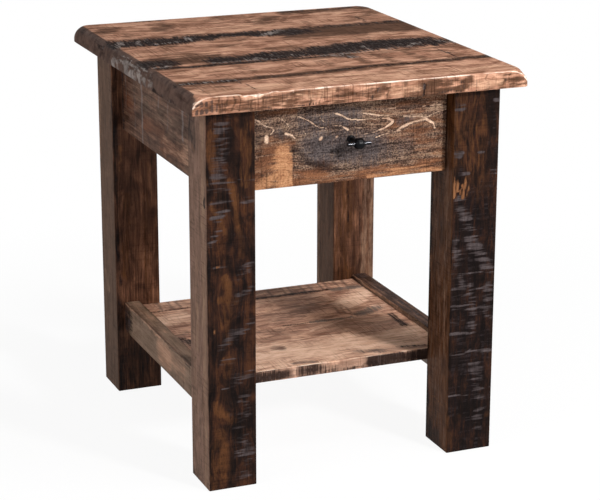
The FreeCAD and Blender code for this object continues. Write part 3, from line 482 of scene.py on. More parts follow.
    height = sums(sums(fibres, 0.5, "MULTIPLY"), sums(saw, 1.2, "MULTIPLY"), "ADD")
    height = sums(pore, -0.4, "MULTIPLY_ADD", height)
    bump = add(tree, "ShaderNodeBump", {"Height": height, "Strength": 0.8, "Distance": 0.0004})
    sheen = fitted(fibres, 0.1, 0.9, gloss - 0.06, gloss + 0.12)
    body = add(tree, "ShaderNodeBsdfPrincipled", {
        "Base Color": colour, "Roughness": sheen, "Normal": bump.outputs[0], "Specular IOR Level": 0.0,
        "Coat Weight": coat, "Coat Roughness": 0.24, "Coat IOR": 1.5, "Coat Normal": bump.outputs[0],
    })
    add(tree, "ShaderNodeOutputMaterial", {"Surface": body.outputs[0]})
    return made


# Hickory, rough-sawn and stained: tan sapwood, brown clouds and near-black bands with pale saw lines
top_wood = rustic_wood(
    "hickory_rough_sawn_toned", ("#6A4632", "#9C715B", "#B98A71", "#D3A68A"), {
        "umber": ("#3E2A1E", "#6A4A38", "fibres", 2.2, 0.5),
        "bare_and_lit": ("#A87A60", "#DAB092", "fibres", 2.4, 0.45),
        "brown": ("#3A2C26", "#6A5248", "fibres", 0.8, 0.4),
        "soot_and_shade": ("#100A08", "#2C1D18", "saw", 3.0, 0.34),
        "ash": ("#4E4442", "#A2968F", "dashes", 4.4, 0.34),
        # The rubbed arris colours: worn pale wood, and a painted highlight on the front arris and its chips
        "rubbed_and_highlight": ("#CEA88C", "#F4E6DA", "fibres", 1.6, 0.3),
    }, saw_tint="#6E625E", figure=(0.26, 0.14, 0.48, 0.12), saw_depth=0.6, saw_shade=0.6, blotch=0.36, coat=0.06)

TOP_MARKS = {
    "up": {
        "soot_and_shade": [
            # the charcoal band in front of the seam at y 130
            (-262, 112, -140, 111, 36, 1.3), (-140, 113, -95, 118, 32, 1.2), (-95, 120, -50, 124, 24, 1.2),
            (-50, 124, -10, 122, 21, 1.1), (-10, 118, 40, 110, 34, 1.2), (40, 108, 66, 112, 38, 0.9),
            (62, 128, 250, 132, 18, 0.65), (200, 150, 200, 190, 5, 0.5),
            # the charcoal band behind the seam at y -86
            (-262, -50, -228, -54, 36, 1.2), (-136, -60, -60, -60, 33, 1.2), (-60, -58, 20, -54, 38, 1.3),
            (20, -54, 90, -45, 45, 1.3), (90, -42, 170, -40, 50, 1.3), (170, -40, 218, -44, 48, 1.2),
            (218, -48, 262, -50, 42, 0.8), (-250, -90, -80, -90, 7, 1), (-60, -92, 60, -90, 7, 0.8),
            # along the seam at y -195, and single marks
            (-262, -204, -170, -203, 13, 0.75), (-170, -200, -30, -199, 6, 0.6), (-30, -194, 70, -186, 9, 0.75),
            (70, -186, 200, -188, 8, 0.7), (200, -180, 262, -182, 9, 0.65), (206, -95, 209, -178, 4, 0.65),
            (48, -100, 58, -116, 14, 0.5), (100, 283, 250, 281, 9, 0.6), (-180, 286, -100, 284, 5, 0.5),
            (-235, -215, -232, -280, 4, 0.4), (-165, -215, -162, -270, 4, 0.4), (-105, -196, -102, -230, 4, 0.4),
        ],
        "umber": [
            (60, 98, 250, 96, 58, 1.35), (140, 70, 262, 64, 34, 0.7), (-212, -40, -150, -40, 44, 1.1),
            (-262, -92, -100, -90, 13, 1.1),
            (-262, -202, -170, -202, 22, 1.1), (-170, -200, 0, -197, 15, 1.1), (0, -192, 90, -186, 20, 1.2),
            (90, -187, 200, -188, 16, 1.1), (200, -182, 262, -182, 18, 1.1), (-100, -90, 60, -98, 14, 0.9),
            (60, -96, 262, -90, 12, 0.7), (30, 70, 60, 72, 18, 1.0),
            (-235, 215, -215, 245, 24, 0.7), (-140, 205, -128, 245, 26, 0.7), (30, 205, 62, 240, 28, 0.75),
            (15, 215, 18, 216, 14, 0.6), (100, 270, 260, 268, 20, 0.8), (-180, 66, -172, 78, 20, 0.6),
            (-190, 15, -160, 0, 18, 0.55), (-90, 40, -80, 40, 18, 0.6), (-50, 85, -60, 96, 20, 0.5),
            (-30, -5, 6, -8, 22, 0.6), (25, 60, 50, 60, 18, 0.6), (130, 20, 136, 20, 22, 0.45),
            (-262, 146, -60, 146, 8, 0.6), (-130, -110, -120, -150, 12, 0.45), (0, -105, 10, -160, 12, 0.45),
            (60, -100, 64, -160, 12, 0.6), (100, -100, 106, -170, 12, 0.6), (150, -100, 156, -170, 12, 0.55),
            (190, -110, 230, -165, 14, 0.5), (-240, -225, -160, -270, 24, 0.45), (-100, -210, 0, -212, 12, 0.5),
            (90, -225, 104, -270, 12, 0.45), (-215, 160, -205, 190, 12, 0.4), (100, 150, 104, 190, 10, 0.45),
            (180, 170, 205, 190, 22, 0.5), (225, 200, 250, 240, 20, 0.5), (-40, 250, -20, 275, 20, 0.45),
        ],
        "brown": [(-266, -266, -265, 293, 15, 3.0)],
        "ash": [
            (-250, 90, -235, 130, 9, 0.78), (-215, 96, -205, 124, 8, 0.7), (-130, 96, -124, 126, 9, 0.72),
            (-4, 100, 34, 128, 12, 0.78), (-250, -80, -222, -78, 8, 0.8), (-150, -76, -60, -80, 9, 0.7),
            (-78, -64, -70, -86, 6, 0.7), (24, -86, 60, -84, 9, 0.8), (-50, -50, -46, -76, 5, 0.6),
            (108, -44, 112, -72, 6, 0.7), (168, -70, 200, -46, 10, 0.75), (60, -82, 110, -80, 6, 0.6),
            (-246, -203, -170, -200, 9, 0.62), (40, -95, 56, -112, 13, 0.6), (236, -40, 250, -70, 8, 0.5),
            (-20, -60, -10, -80, 6, 0.5), (128, -76, 150, -70, 7, 0.6), (-190, 92, -150, 100, 8, 0.5),
        ],
        "bare_and_lit": [
            (-262, -262, 262, -262, 26, 0.5), (-60, -230, 90, -240, 22, 0.35), (-110, 170, 40, 175, 26, 0.35),
            (-250, 25, -235, 10, 22, 0.3), (100, 25, 200, 40, 12, 0.4), (-230, -130, -150, -130, 12, 0.3),
        ],
    },
    "front": {
        "soot_and_shade": [
            (-232, 596, 262, 596, 19, 0.16), (10, 586, 16, 600, 4, 0.5), (90, 584, 92, 600, 4, 0.7),
            (157, 584, 158, 600, 4, 0.6), (-150, 584, -60, 585, 3, 0.5), (60, 584, 180, 585, 3, 0.4),
        ],
        "umber": [
            (-232, 596, 262, 596, 19, 0.44),
            *[(x, 585, x + 1.5, 607, 2.4, 0.95)
              for x in (-224, -215, -205, -196, -176, -160, -88, -70, 36, 62, 196, 232)],
            (-158, 588, -120, 600, 9, 0.85), (-120, 584, -104, 606, 15, 0.95), (-225, 586, -190, 590, 5, 0.6),
            (-45, 586, -26, 600, 11, 0.9), (-20, 600, 10, 600, 6, 0.6), (10, 586, 28, 604, 14, 1.0),
            (82, 588, 112, 600, 18, 1.1), (112, 588, 140, 594, 14, 0.95), (150, 586, 168, 602, 12, 1.1),
            (215, 586, 222, 598, 7, 0.9), (236, 590, 252, 600, 10, 0.8),
        ],
        "brown": [(x, z, x, z + 3.4, 2.8, 1.6) for x in (-257, -250, -243) for z in (587.5, 598)] + [
            (-235, 588, -235, 604, 2, 1.2), (-228, 588, -227, 600, 1.6, 0.9)],
        # Painted highlight, partly bared wood: pale streaks on the chips in the front arris
        "rubbed_and_highlight": [(-188, 607.5, -150, 606, 2.2, 1.1), (-136, 608, -110, 607, 1.6, 0.9)],
        "bare_and_lit": [
            (-190, 606, -150, 607, 5, 0.9), (45, 596, 80, 598, 12, 0.4), (180, 592, 212, 598, 12, 0.5),
            (-100, 600, -50, 602, 9, 0.35),
        ],
    },
    "left": {
        "brown": [(-268, 592, 293, 597, 30, 3.0)],
        "umber": [(-293, 594, -110, 592, 10, 0.6)],
        "soot_and_shade": [(100, 597, 180, 597, 20, 0.35), (-293, 585, -120, 585, 6, 0.4)],
        "ash": [(-50, 597, 8, 597, 26, 1.15), (-100, 597, -60, 597, 24, 0.75), (20, 597, 70, 597, 22, 0.7)],
        # A painted highlight: a small glint on the front end of the left rounding
        "rubbed_and_highlight": [(-289, 600, -288, 602, 2.6, 1.0)],
    },
}
TOP_KNOTS = [
    (-180, -45, 60, 24, 0.85), (50, -228, 45, 26, 0.85), (-130, -228, 40, 24, 0.85), (55, 110, 40, 16, 0.8),
    (150, 250, 60, 18, 0.8), (-110, 245, 50, 16, 0.8), (160, -60, 55, 22, 0.8), (-30, -20, 60, 20, 0.8),
]
TOP_CHIPS = [
    # where the saw tore the front arris: side, from, to, half its width, depth
    ("front", -186, 608, -166, 606, 5, 2.2), ("front", -158, 609, -146, 606, 4, 1.8),
    ("front", -132, 609, -114, 607, 4, 1.4), ("up", -188, -291, -150, -290, 6, 1.6),
    ("front", -90, 609, -78, 609, 2.4, 0.7), ("up", 60, -291, 74, -291, 3, 0.5),
]
TOP_HALF_LENGTH, TOP_HALF_WIDTH, TOP_LOW_Z, TOP_HIGH_Z, END_ROUND = 265.0, 293.5, 583.0, 610.0, 21.0
END_REACH, FRONT_CORNER_REACH, BACK_CORNER_REACH, CORNER_SPREAD = 10.0, 33.0, 27.0, 24.0
TOP_ARRIS = 3.4


def shaped_ends(board):
    """Reshapes the two ends' roundings, from arcs to quarter ellipses that are steep along the end and
    long at the corners: the distance from the end is scaled by the reach over the arc's radius, and
    the middle is stretched to fit. The reach grows towards the front and the back with the square of
    1 less the distance over the spread."""
    placed, shown, quads, arris_weight = board
    near_front = np.clip(1 - (TOP_HALF_WIDTH - placed[:, 2]) / CORNER_SPREAD, 0, 1) ** 2
    near_back = np.clip(1 - (TOP_HALF_WIDTH + placed[:, 2]) / CORNER_SPREAD, 0, 1) ** 2
    reach = (END_REACH + (FRONT_CORNER_REACH - END_REACH) * near_front
             + (BACK_CORNER_REACH - END_REACH) * near_back)
    from_end = TOP_HALF_LENGTH - np.abs(placed[:, 0])
    in_end = from_end < END_ROUND
    placed[:, 0] = np.sign(placed[:, 0]) * np.where(
        in_end, TOP_HALF_LENGTH - from_end * reach / END_ROUND,
        np.abs(placed[:, 0]) * (TOP_HALF_LENGTH - reach) / (TOP_HALF_LENGTH - END_ROUND))
    shown[:, 0] *= np.where(in_end, END_ROUND / reach, 1.0)
    shown /= np.maximum(np.linalg.norm(shown, axis=1), 1e-9)[:, None]
    return placed, shown, quads, arris_weight


TOP_SEAMS = (-194.9, -86.0, 0.0, 130.0)
TOP_NAMES = ("front", "second", "third", "fourth", "back")
for number, label in enumerate(TOP_NAMES):
    front = TOP_SEAMS[number - 1] if number else -TOP_HALF_WIDTH
    back = TOP_SEAMS[number] if number < 4 else TOP_HALF_WIDTH
    board = shaped_ends(sawn_board(
        (-TOP_HALF_LENGTH, TOP_LOW_Z, -back), (TOP_HALF_LENGTH, TOP_HIGH_Z, -front),
        corners=(2, 2, END_ROUND, END_ROUND), upper=1.0 if number else TOP_ARRIS,
        lower=TOP_ARRIS if number == 4 else 1.0, waver=0.25,
        steps=(2.2, 2.4, 2.2) if number else (1.4, 1.4, 2.0), seed=11))
    # Only the front board's upper front arris is painted pale: worn wood and a painted highlight
    wooden_piece(
        f"tabletop_board_{label}", [board], FACING_FRONT, 0, TOP_MARKS, "table",
        [f"top_board_{label}"], top_wood, seed=11 + number, rubbed_and_highlight=0.0 if number else 0.72,
        knots=TOP_KNOTS, dents=TOP_CHIPS)


# Legs: posts 76 mm square, each glued up from three hickory layers and sawn to length.
# They are stained almost black over coarse saw marks, and worn warm and grey in patches.
LEG_STAINS = {
    "umber": ("#2C190F", "#583720", "fibres", 2.0, 0.5),
    # On the left faces this brown is partly stain, partly a painted sheen: the grey veil of a lamp's reflection
    "brown": ("#5A4437", "#88695A", "fibres", 0.5, 0.5),
    "bare_and_lit": ("#6E5244", "#94765F", "fibres", 0.9, 0.5),
    "soot_and_shade": ("#0A0605", "#181010", "fibres", 1.4, 0.5),
    "ash": ("#2A2222", "#544B4B", "dashes", 3.4, 0.42),
    "rubbed_and_highlight": ("#4A2C1A", "#82583A", "fibres", 2.2, 0.4),
}

# Hickory posts, sawn and stained almost black: dull red-brown flames under grey dashes of the saw
leg_wood = rustic_wood(
    "hickory_glued_posts_dark_stained", ("#100908", "#1E120D", "#2E1B13", "#442818"), LEG_STAINS,
    saw_tint="#342B2C", figure=(0.22, 0.16, 0.5, 0.12), saw_depth=0.4, blotch=0.4, dash=(3.6, 40))
# The same posts with the stain wiped thinner: plain brown, with straight fibres that show
back_leg_wood = rustic_wood(
    "hickory_glued_posts_brown_stained", ("#2A1911", "#462D21", "#5C3D2D", "#7E5740"),
    {**LEG_STAINS, "brown": ("#443125", "#6E5343", "fibres", 0.5, 0.5)},
    saw_tint="#342B2C", figure=(0.32, 0.22, 0.3, 0.08), saw_depth=0.3, saw_shade=0.2, blotch=0.2)

LEG_MARKS = {
    "front_left": {
        "front": {
            "soot_and_shade": [(-190, 30, -188, 390, 18, 0.52), (-230, 380, -228, 240, 8, 0.4), (-190, 20, -180, 140, 20, 0.4)],
            "umber": [
                (-197, 475, -190, 440, 7, 0.9), (-190, 440, -185, 400, 7, 0.8), (-185, 400, -180, 360, 6, 0.7),
                (-228, 445, -205, 400, 6, 0.8), (-224, 480, -224, 545, 12, 0.9), (-176, 470, -172, 560, 10, 0.6),
                (-214, 300, -192, 296, 9, 1.1),
                (-207, 332, -202, 300, 8, 1.4), (-205, 258, -205, 290, 12, 0.6), (-203, 255, -200, 235, 9, 0.6),
                (-203, 183, -203, 205, 11, 0.55), (-225, 138, -196, 106, 9, 0.8), (-222, 4, -216, 88, 16, 0.55),
                (-206, 20, -204, 60, 10, 0.5),
            ],
            "ash": [
                (-216, 485, -208, 560, 17, 0.66), (-233, 474, -161, 474, 2.0, 0.8),
                (-230, 462, -200, 463, 6, 0.55), (-225, 446, -202, 448, 9, 0.6), (-180, 445, -160, 447, 9, 0.55),
                (-223, 420, -206, 432, 9, 0.5), (-230, 384, -218, 404, 9, 0.5), (-226, 351, -202, 350, 2, 0.8),
                (-188, 330, -164, 356, 12, 0.5), (-186, 300, -164, 318, 10, 0.5), (-195, 246, -163, 258, 11, 0.55),
                (-214, 225, -197, 243, 8, 0.5), (-215, 202, -196, 205, 6, 0.5), (-190, 172, -163, 182, 10, 0.45),
                (-215, 158, -201, 158, 3, 0.8), (-182, 30, -176, 145, 16, 0.42), (-178, 20, -172, 60, 14, 0.5),
            ],
            "rubbed_and_highlight": [(-223, 249, -223, 252, 2.4, 0.9), (-226, 351, -216, 351, 1.2, 0.7)],
        },
        "left": {
            # Partly stain, partly painted sheen: the whole left face laid grey-brown like a lamp's reflection
            "brown": [(-225, 0, -225, 583, 60, 1.6)],
            "soot_and_shade": [(-257, 442, -258, 454, 4, 1), (-210, 530, -200, 583, 24, 0.62), (-190, 0, -190, 70, 10, 0.3)],
            "bare_and_lit": [(-250, 0, -250, 583, 11, 0.75), (-218, 215, -219, 350, 7, 0.6), (-205, 120, -205, 260, 12, 0.4)],
            "rubbed_and_highlight": [(-217, 240, -219, 330, 3, 0.3), (-215, 515, -198, 522, 5, 0.3)],
        },
    },
    "front_right": {
        "front": {
            "soot_and_shade": [
                (196, 0, 196, 395, 60, 0.75), (172, 410, 172, 455, 16, 0.5), (205, 100, 204, 0, 3, 0.9),
                (222, 400, 222, 583, 14, 0.45), (160, 470, 160, 583, 5, 0.4),
            ],
            "umber": [
                (163, 460, 163, 575, 12, 0.6), (196, 430, 196, 580, 40, 0.3), (178, 272, 179, 290, 4, 1.1),
                (191, 225, 192, 245, 3.5, 1.1), (190, 105, 190, 125, 7, 0.9), (180, 60, 181, 60, 6, 0.8),
                (229, 55, 229, 56, 7, 0.8), (162, 0, 162, 60, 6, 0.8), (200, 405, 206, 440, 7, 0.8),
            ],
            "ash": [
                (162, 483, 172, 483, 7, 0.9), (203, 482, 208, 482, 4, 0.9), (178, 452, 188, 452, 4, 0.9),
                (223, 450, 232, 450, 5, 0.8), (162, 553, 172, 556, 8, 0.8), (226, 520, 228, 560, 6, 0.5),
                (172, 405, 185, 370, 14, 0.7), (185, 370, 200, 330, 15, 0.7), (200, 330, 228, 295, 15, 0.68),
                (163, 345, 172, 300, 10, 0.62), (172, 300, 182, 270, 9, 0.55), (195, 270, 200, 200, 9, 0.5),
                (223, 225, 223, 265, 11, 0.62), (205, 140, 212, 95, 14, 0.7), (212, 95, 212, 40, 12, 0.6),
                (160, 295, 233, 296, 2, 0.8), (160, 268, 233, 268, 2.6, 1.0),
                (160, 258, 233, 258, 2, 0.6), (160, 243, 190, 243, 2.2, 0.8), (160, 235, 233, 235, 2, 0.7),
                (160, 215, 233, 216, 2, 0.6), (160, 195, 195, 195, 2.6, 1.0),
                (160, 163, 233, 163, 2.8, 1.2), (160, 95, 192, 95, 2.2, 0.9),
            ],
            "rubbed_and_highlight": [
                (161, 416, 162, 449, 2.6, 1.0), (166, 424, 166, 452, 1.8, 0.9), (170, 413, 171, 436, 1.4, 0.7),
                (176, 410, 177, 434, 2.6, 1.0), (182, 415, 182, 447, 1.8, 0.9), (187, 420, 187, 436, 1.2, 0.7),
            ],
        },
        "left": {
            "soot_and_shade": [(-222, 330, -225, 440, 12, 0.35), (-222, 0, -222, 60, 36, 0.25), (-195, 440, -190, 340, 7, 0.3)],
            "umber": [
                (-252, 0, -252, 583, 16, 2.2), (-225, 60, -225, 300, 36, 2.2), (-208, 300, -208, 450, 14, 1.6),
                (-225, 300, -225, 583, 30, 1.2),
            ],
            "brown": [(-225, 0, -225, 480, 60, 0.28)],
            "bare_and_lit": [(-246, 150, -246, 420, 6, 0.3), (-195, 170, -195, 196, 7, 0.4)],
            "rubbed_and_highlight": [
                (-248, 74, -226, 79, 1.3, 0.5), (-226, 79, -204, 73, 1.3, 0.5), (-196, 175, -192, 200, 5, 0.4),
                (-250, 90, -250, 240, 4, 0.25),
            ],
        },
    },
    "back_left": {
        "front": {
            "soot_and_shade": [(-232, 0, -230, 583, 7, 0.6), (-200, 0, -200, 90, 40, 0.5), (-165, 440, -165, 583, 10, 0.4)],
            "umber": [(-218, 200, -214, 340, 9, 0.5), (-180, 160, -180, 400, 8, 0.4)],
            "rubbed_and_highlight": [
                (-222, 428, -225, 385, 2.4, 0.75), (-225, 385, -222, 345, 1.6, 0.7), (-214, 420, -216, 380, 1, 0.4),
            ],
        },
        "left": {
            # Partly stain, partly painted sheen: the whole left face laid brown like a lamp's reflection
            "brown": [(225, 0, 225, 583, 60, 1.2)],
            "soot_and_shade": [(192, 400, 192, 583, 6, 0.3)],
            "umber": [(203, 440, 203, 570, 12, 0.5), (225, 520, 245, 570, 20, 0.4)],
            "bare_and_lit": [(257, 395, 257, 510, 7, 0.8), (232, 168, 246, 196, 10, 0.5)],
            "rubbed_and_highlight": [(257, 400, 257, 505, 4, 0.35)],
        },
    },
    "back_right": {
        "front": {
            "soot_and_shade": [(207, 130, 207, 420, 1.6, 0.6), (185, 130, 186, 330, 1.2, 0.5), (172, 130, 171, 420, 1.2, 0.5)],
            "umber": [(180, 130, 180, 583, 24, 0.6)],
            "bare_and_lit": [(218, 130, 218, 583, 10, 0.4), (230, 130, 230, 583, 4, 0.6)],
        },
        "left": {
            # Partly stain, partly painted sheen: the whole left face laid brown like a lamp's reflection
            "brown": [(225, 0, 225, 583, 60, 0.8)],
            "umber": [(195, 0, 195, 583, 14, 0.6)],
            "bare_and_lit": [(256, 100, 256, 583, 8, 0.7)],
        },
    },
}
LEG_KNOTS = {
    "front_left": [(312, -198, 34, 18, 0.9), (400, -205, 30, 14, 0.8), (120, -208, 26, 16, 0.9),
                   (45, -214, 40, 18, 0.85), (500, -222, 30, 12, 0.8), (195, -203, 20, 14, 0.8)],
    "front_right": [(430, 175, 26, 12, 0.9), (520, 205, 36, 16, 0.8), (280, 178, 24, 10, 0.8),
                    (110, 192, 26, 12, 0.8), (350, 210, 40, 16, 0.8)],
    "back_left": [(380, -224, 60, 8, 0.8), (290, -205, 70, 16, 0.8)],
    "back_right": [(220, 190, 70, 14, 0.7)],
}
LEG_INNER, LEG_OUTER, LEG_INNER_Y, LEG_OUTER_Y, LEG_TOP = 158.8, 235.0, 187.3, 263.5, 583.0
LEG_LAYER = 25.4
for number, (label, marks) in enumerate(LEG_MARKS.items()):
    along_y, along_x = label.split("_")
    x_low = -LEG_OUTER if along_x == "left" else LEG_INNER
    y_low = -LEG_OUTER_Y if along_y == "front" else LEG_INNER_Y
    low = (x_low, y_low, 0.0)
    high = (x_low + LEG_OUTER - LEG_INNER, y_low + LEG_OUTER_Y - LEG_INNER_Y, LEG_TOP)
    layers = ("face", "core", "back") if along_y == "front" else ("back", "core", "face")
    for place, layer in enumerate(layers):
        board = sawn_board(
            low, high,
            (None if place == 0 else y_low + place * LEG_LAYER,
             None if place == 2 else y_low + (place + 1) * LEG_LAYER),
            corners=(2.2,) * 4, lower=1.5, groove=0.15, steps=(2.8, 2.8, 2.4), seed=31 + number)
        wooden_piece(
            f"post_{label}_{layer}", [board], FLAT, 2, marks, "table",
            [f"leg_{label}_{layer}"], leg_wood if along_y == "front" else back_leg_wood,
            seed=31 + 3 * number + place, ragged=4.0, rubbed_and_highlight=0.5, knots=LEG_KNOTS.get(label, ()))


# Aprons and stretchers: rails tenoned into the posts, sawn like them and stained dark brown.
# The visible part of each is a soft-edged board, and a tenon at each end goes into the post.

# Hickory rails, sawn and stained brown: long fibres, a grey bloom and pale upright saw lines
rail_wood = rustic_wood(
    "hickory_rails_brown_stained", ("#33221A", "#4C362B", "#5E4438", "#7C5C4A"), {
        "umber": ("#4A2A1E", "#744A34", "fibres", 1.4, 0.5),
        "brown": ("#5E4A3A", "#8E7462", "fibres", 0.5, 0.5),
        "bare_and_lit": ("#8A6450", "#BC947A", "fibres", 0.8, 0.5),
        "soot_and_shade": ("#181110", "#2E221E", "fibres", 1.4, 0.5),
        "ash": ("#564A46", "#80726C", "dashes", 1.8, 0.45),
        "rubbed_and_highlight": ("#7A6050", "#A88C78", "fibres", 1.6, 0.35),
    }, saw_tint="#6A6062", figure=(0.36, 0.24, 0.32, 0.1), saw_depth=0.4, saw_shade=0.5, blotch=0.3)

APRON_LOW_Z, APRON_HIGH_Z, APRON_THICK = 454.0, 583.0, 22.0
APRON_MARKS = {
    "left": {
        "soot_and_shade": [(187, 460, 187, 583, 14, 0.7), (-187, 460, -187, 583, 8, 0.5)],
        "umber": [(-20, 495, 70, 492, 20, 0.8), (-110, 480, -20, 478, 24, 0.7), (130, 500, 186, 520, 20, 0.5)],
        "ash": [
            (-170, 556, -70, 560, 18, 0.5), (165, 500, 165, 570, 3, 0.7), (82, 456, 82, 575, 5, 0.95),
            (0, 530, 0, 570, 4, 0.8), (-45, 500, -45, 560, 3, 0.6), (-113, 505, -113, 570, 5.5, 1.0),
            (120, 470, 120, 560, 3, 0.6), (-150, 470, -150, 560, 3, 0.6),
        ],
        "brown": [(-160, 490, 100, 540, 60, 0.3)],
        "bare_and_lit": [(-30, 478, -110, 480, 22, 0.32), (-120, 482, -182, 484, 22, 0.62)],
    },
}
TENON_SHOULDER, TENON_LENGTH, TENON_HALF, INTO_POST = 9.0, 22.0, 5.0, 2.0
SIDE_TENON_ENDS = (-LEG_INNER_Y - TENON_LENGTH, LEG_INNER_Y + TENON_LENGTH)
RAIL_SHAPE = {"corners": (0.6,) * 4, "upper": 1.5, "lower": 1.5, "steps": (2.4, 2.4, 3.0)}


def tenoned_rail(face, ends, low, high, tenon_low, tenon_high, seed, tenon_steps=(12, 12, 5), **shape):
    """The boards of a rail between two posts whose inner faces stand face mm off the middle: the one
    that shows, reaching INTO_POST into both, and a tenon from each face to its end. The four corners
    are of the two cross sections, as (width, height)."""
    boards = [sawn_board((-face - INTO_POST, *low), (face + INTO_POST, *high), seed=seed, **shape)]
    for side, end in zip((-1, 1), ends):
        near, far = sorted((side * face, end))
        boards.append(sawn_board(
            (near, *tenon_low), (far, *tenon_high), corners=(0.5,) * 4, steps=tenon_steps, seed=seed))
    return boards


def side_rails(label, node, low_z, high_z, thickness, starts, marks, seed):
    """A left and a right rail between the front and back posts, each from its own lower x."""
    for number, (side, x_low) in enumerate(zip(("left", "right"), starts)):
        x_high = x_low + thickness
        middle = (x_low + x_high) / 2
        boards = tenoned_rail(
            LEG_INNER_Y, SIDE_TENON_ENDS, (low_z, x_low), (high_z, x_high),
            (low_z + TENON_SHOULDER, middle - TENON_HALF), (high_z - TENON_SHOULDER, middle + TENON_HALF),
            seed, **RAIL_SHAPE)
        wooden_piece(
            f"{label}_{side}", boards, FACING_SIDE, 0, marks, "table",
            [f"{node}_{side}"], rail_wood, seed=seed + number, chatter=0.15)


side_rails("side_apron", "apron", APRON_LOW_Z, APRON_HIGH_Z, APRON_THICK, (-217.0, 195.0), APRON_MARKS, 51)

# A front or back rail's width runs up, and its height runs forwards: (z, -y)
BACK_APRON_REAR, BACK_APRON_FACE, BACK_TENON_REAR, BACK_TENON_FACE = -245.5, -223.5, -236.5, -226.5
back_low, back_high = (value * 1000 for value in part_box("apron_back"))
wooden_piece("back_apron", tenoned_rail(
    LEG_INNER, (back_low.x, back_high.x), (APRON_LOW_Z, BACK_APRON_REAR), (APRON_HIGH_Z, BACK_APRON_FACE),
    (APRON_LOW_Z + TENON_SHOULDER, BACK_TENON_REAR), (APRON_HIGH_Z - TENON_SHOULDER, BACK_TENON_FACE),
    54, **RAIL_SHAPE,
), FACING_FRONT, 0, {}, "table", ["apron_back"], rail_wood, seed=54, chatter=0.15)

STRETCHER_MARKS = {
    "left": {
        "brown": [(-187, 131, 140, 131, 40, 1.4)],
        "soot_and_shade": [(165, 131, 187, 131, 26, 0.8), (-140, 155, -20, 155, 2, 0.6)],
        "umber": [(90, 131, 150, 131, 26, 0.3)],
        "bare_and_lit": [(-40, 134, 2, 134, 26, 0.85), (-110, 138, -55, 135, 22, 0.4), (0, 156, 187, 156, 3, 0.9)],
    },
    "up": {
        "soot_and_shade": [(207, -187, 207, 187, 18, 0.5)],
        "brown": [(-207, -187, -207, 187, 14, 1.0)],
        "bare_and_lit": [(-207, 20, -207, 187, 10, 0.3)],
    },
}
STRETCHER_LOW_Z, STRETCHER_HIGH_Z, STRETCHER_THICK = 106.0, 157.0, 25.4
side_rails("stretcher_rail", "stretcher", STRETCHER_LOW_Z, STRETCHER_HIGH_Z, STRETCHER_THICK,
           (-220.5, 195.1), STRETCHER_MARKS, 57)

FRONT_RAIL_THICK, FRONT_RAIL_SHOULDER, FRONT_RAIL_FACE = 19, 4.5, 220.5
for number, (label, z_low) in enumerate((("top", 564.0), ("bottom", 454.0))):
    rail_low, rail_high = (value * 1000 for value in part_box(f"rail_front_{label}"))
    wooden_piece(f"drawer_rail_{label}", tenoned_rail(
        LEG_INNER, (rail_low.x, rail_high.x), (z_low, LEG_INNER_Y), (z_low + FRONT_RAIL_THICK, FRONT_RAIL_FACE),
        (z_low + FRONT_RAIL_SHOULDER, LEG_INNER_Y + FRONT_RAIL_SHOULDER),
        (z_low + FRONT_RAIL_THICK - FRONT_RAIL_SHOULDER, FRONT_RAIL_FACE - FRONT_RAIL_SHOULDER), 60,
        tenon_steps=(12, 12, 8), corners=(0.5,) * 4, steps=(4.0, 4.0, 4.0),
    ), FACING_FRONT, 0, {}, "table", [f"rail_front_{label}"], rail_wood, seed=60 + number, chatter=0.1)


# Shelf: three boards glued edge to edge and screwed down on cleats between the stretchers.
# Its front edge shows bands of dark and bare wood, and its top dark strokes square to the grain.

# Hickory shelf boards, sawn and toned: pale pinkish tan under soft brown clouds and dark strokes
shelf_wood = rustic_wood(
    "hickory_shelf_rough_sawn_toned", ("#6E4A3A", "#A47C68", "#C2967C", "#DCB398"), {
        # Bare pale wood; on the shelf's front board it is also painted light
        "bare_and_lit": ("#C4987E", "#EECBB2", "fibres", 2.4, 0.5),
        "umber": ("#64483C", "#907262", "fibres", 2.6, 0.5),
        "brown": ("#7A5C4C", "#AC8A76", "fibres", 1.6, 0.5),
        "soot_and_shade": ("#1C1210", "#3A2A23", "saw", 2.2, 0.35),
        "ash": ("#54463F", "#8C786C", "saw", 2.6, 0.4),
        # Pale arris colours: worn wood, and a painted highlight along the front board's front arris
        "rubbed_and_highlight": ("#C8A488", "#F0DCC8", "fibres", 1.4, 0.3),
    }, saw_tint="#5A4A46", figure=(0.26, 0.14, 0.48, 0.14), saw_depth=0.4, saw_shade=0.5, blotch=0.36)

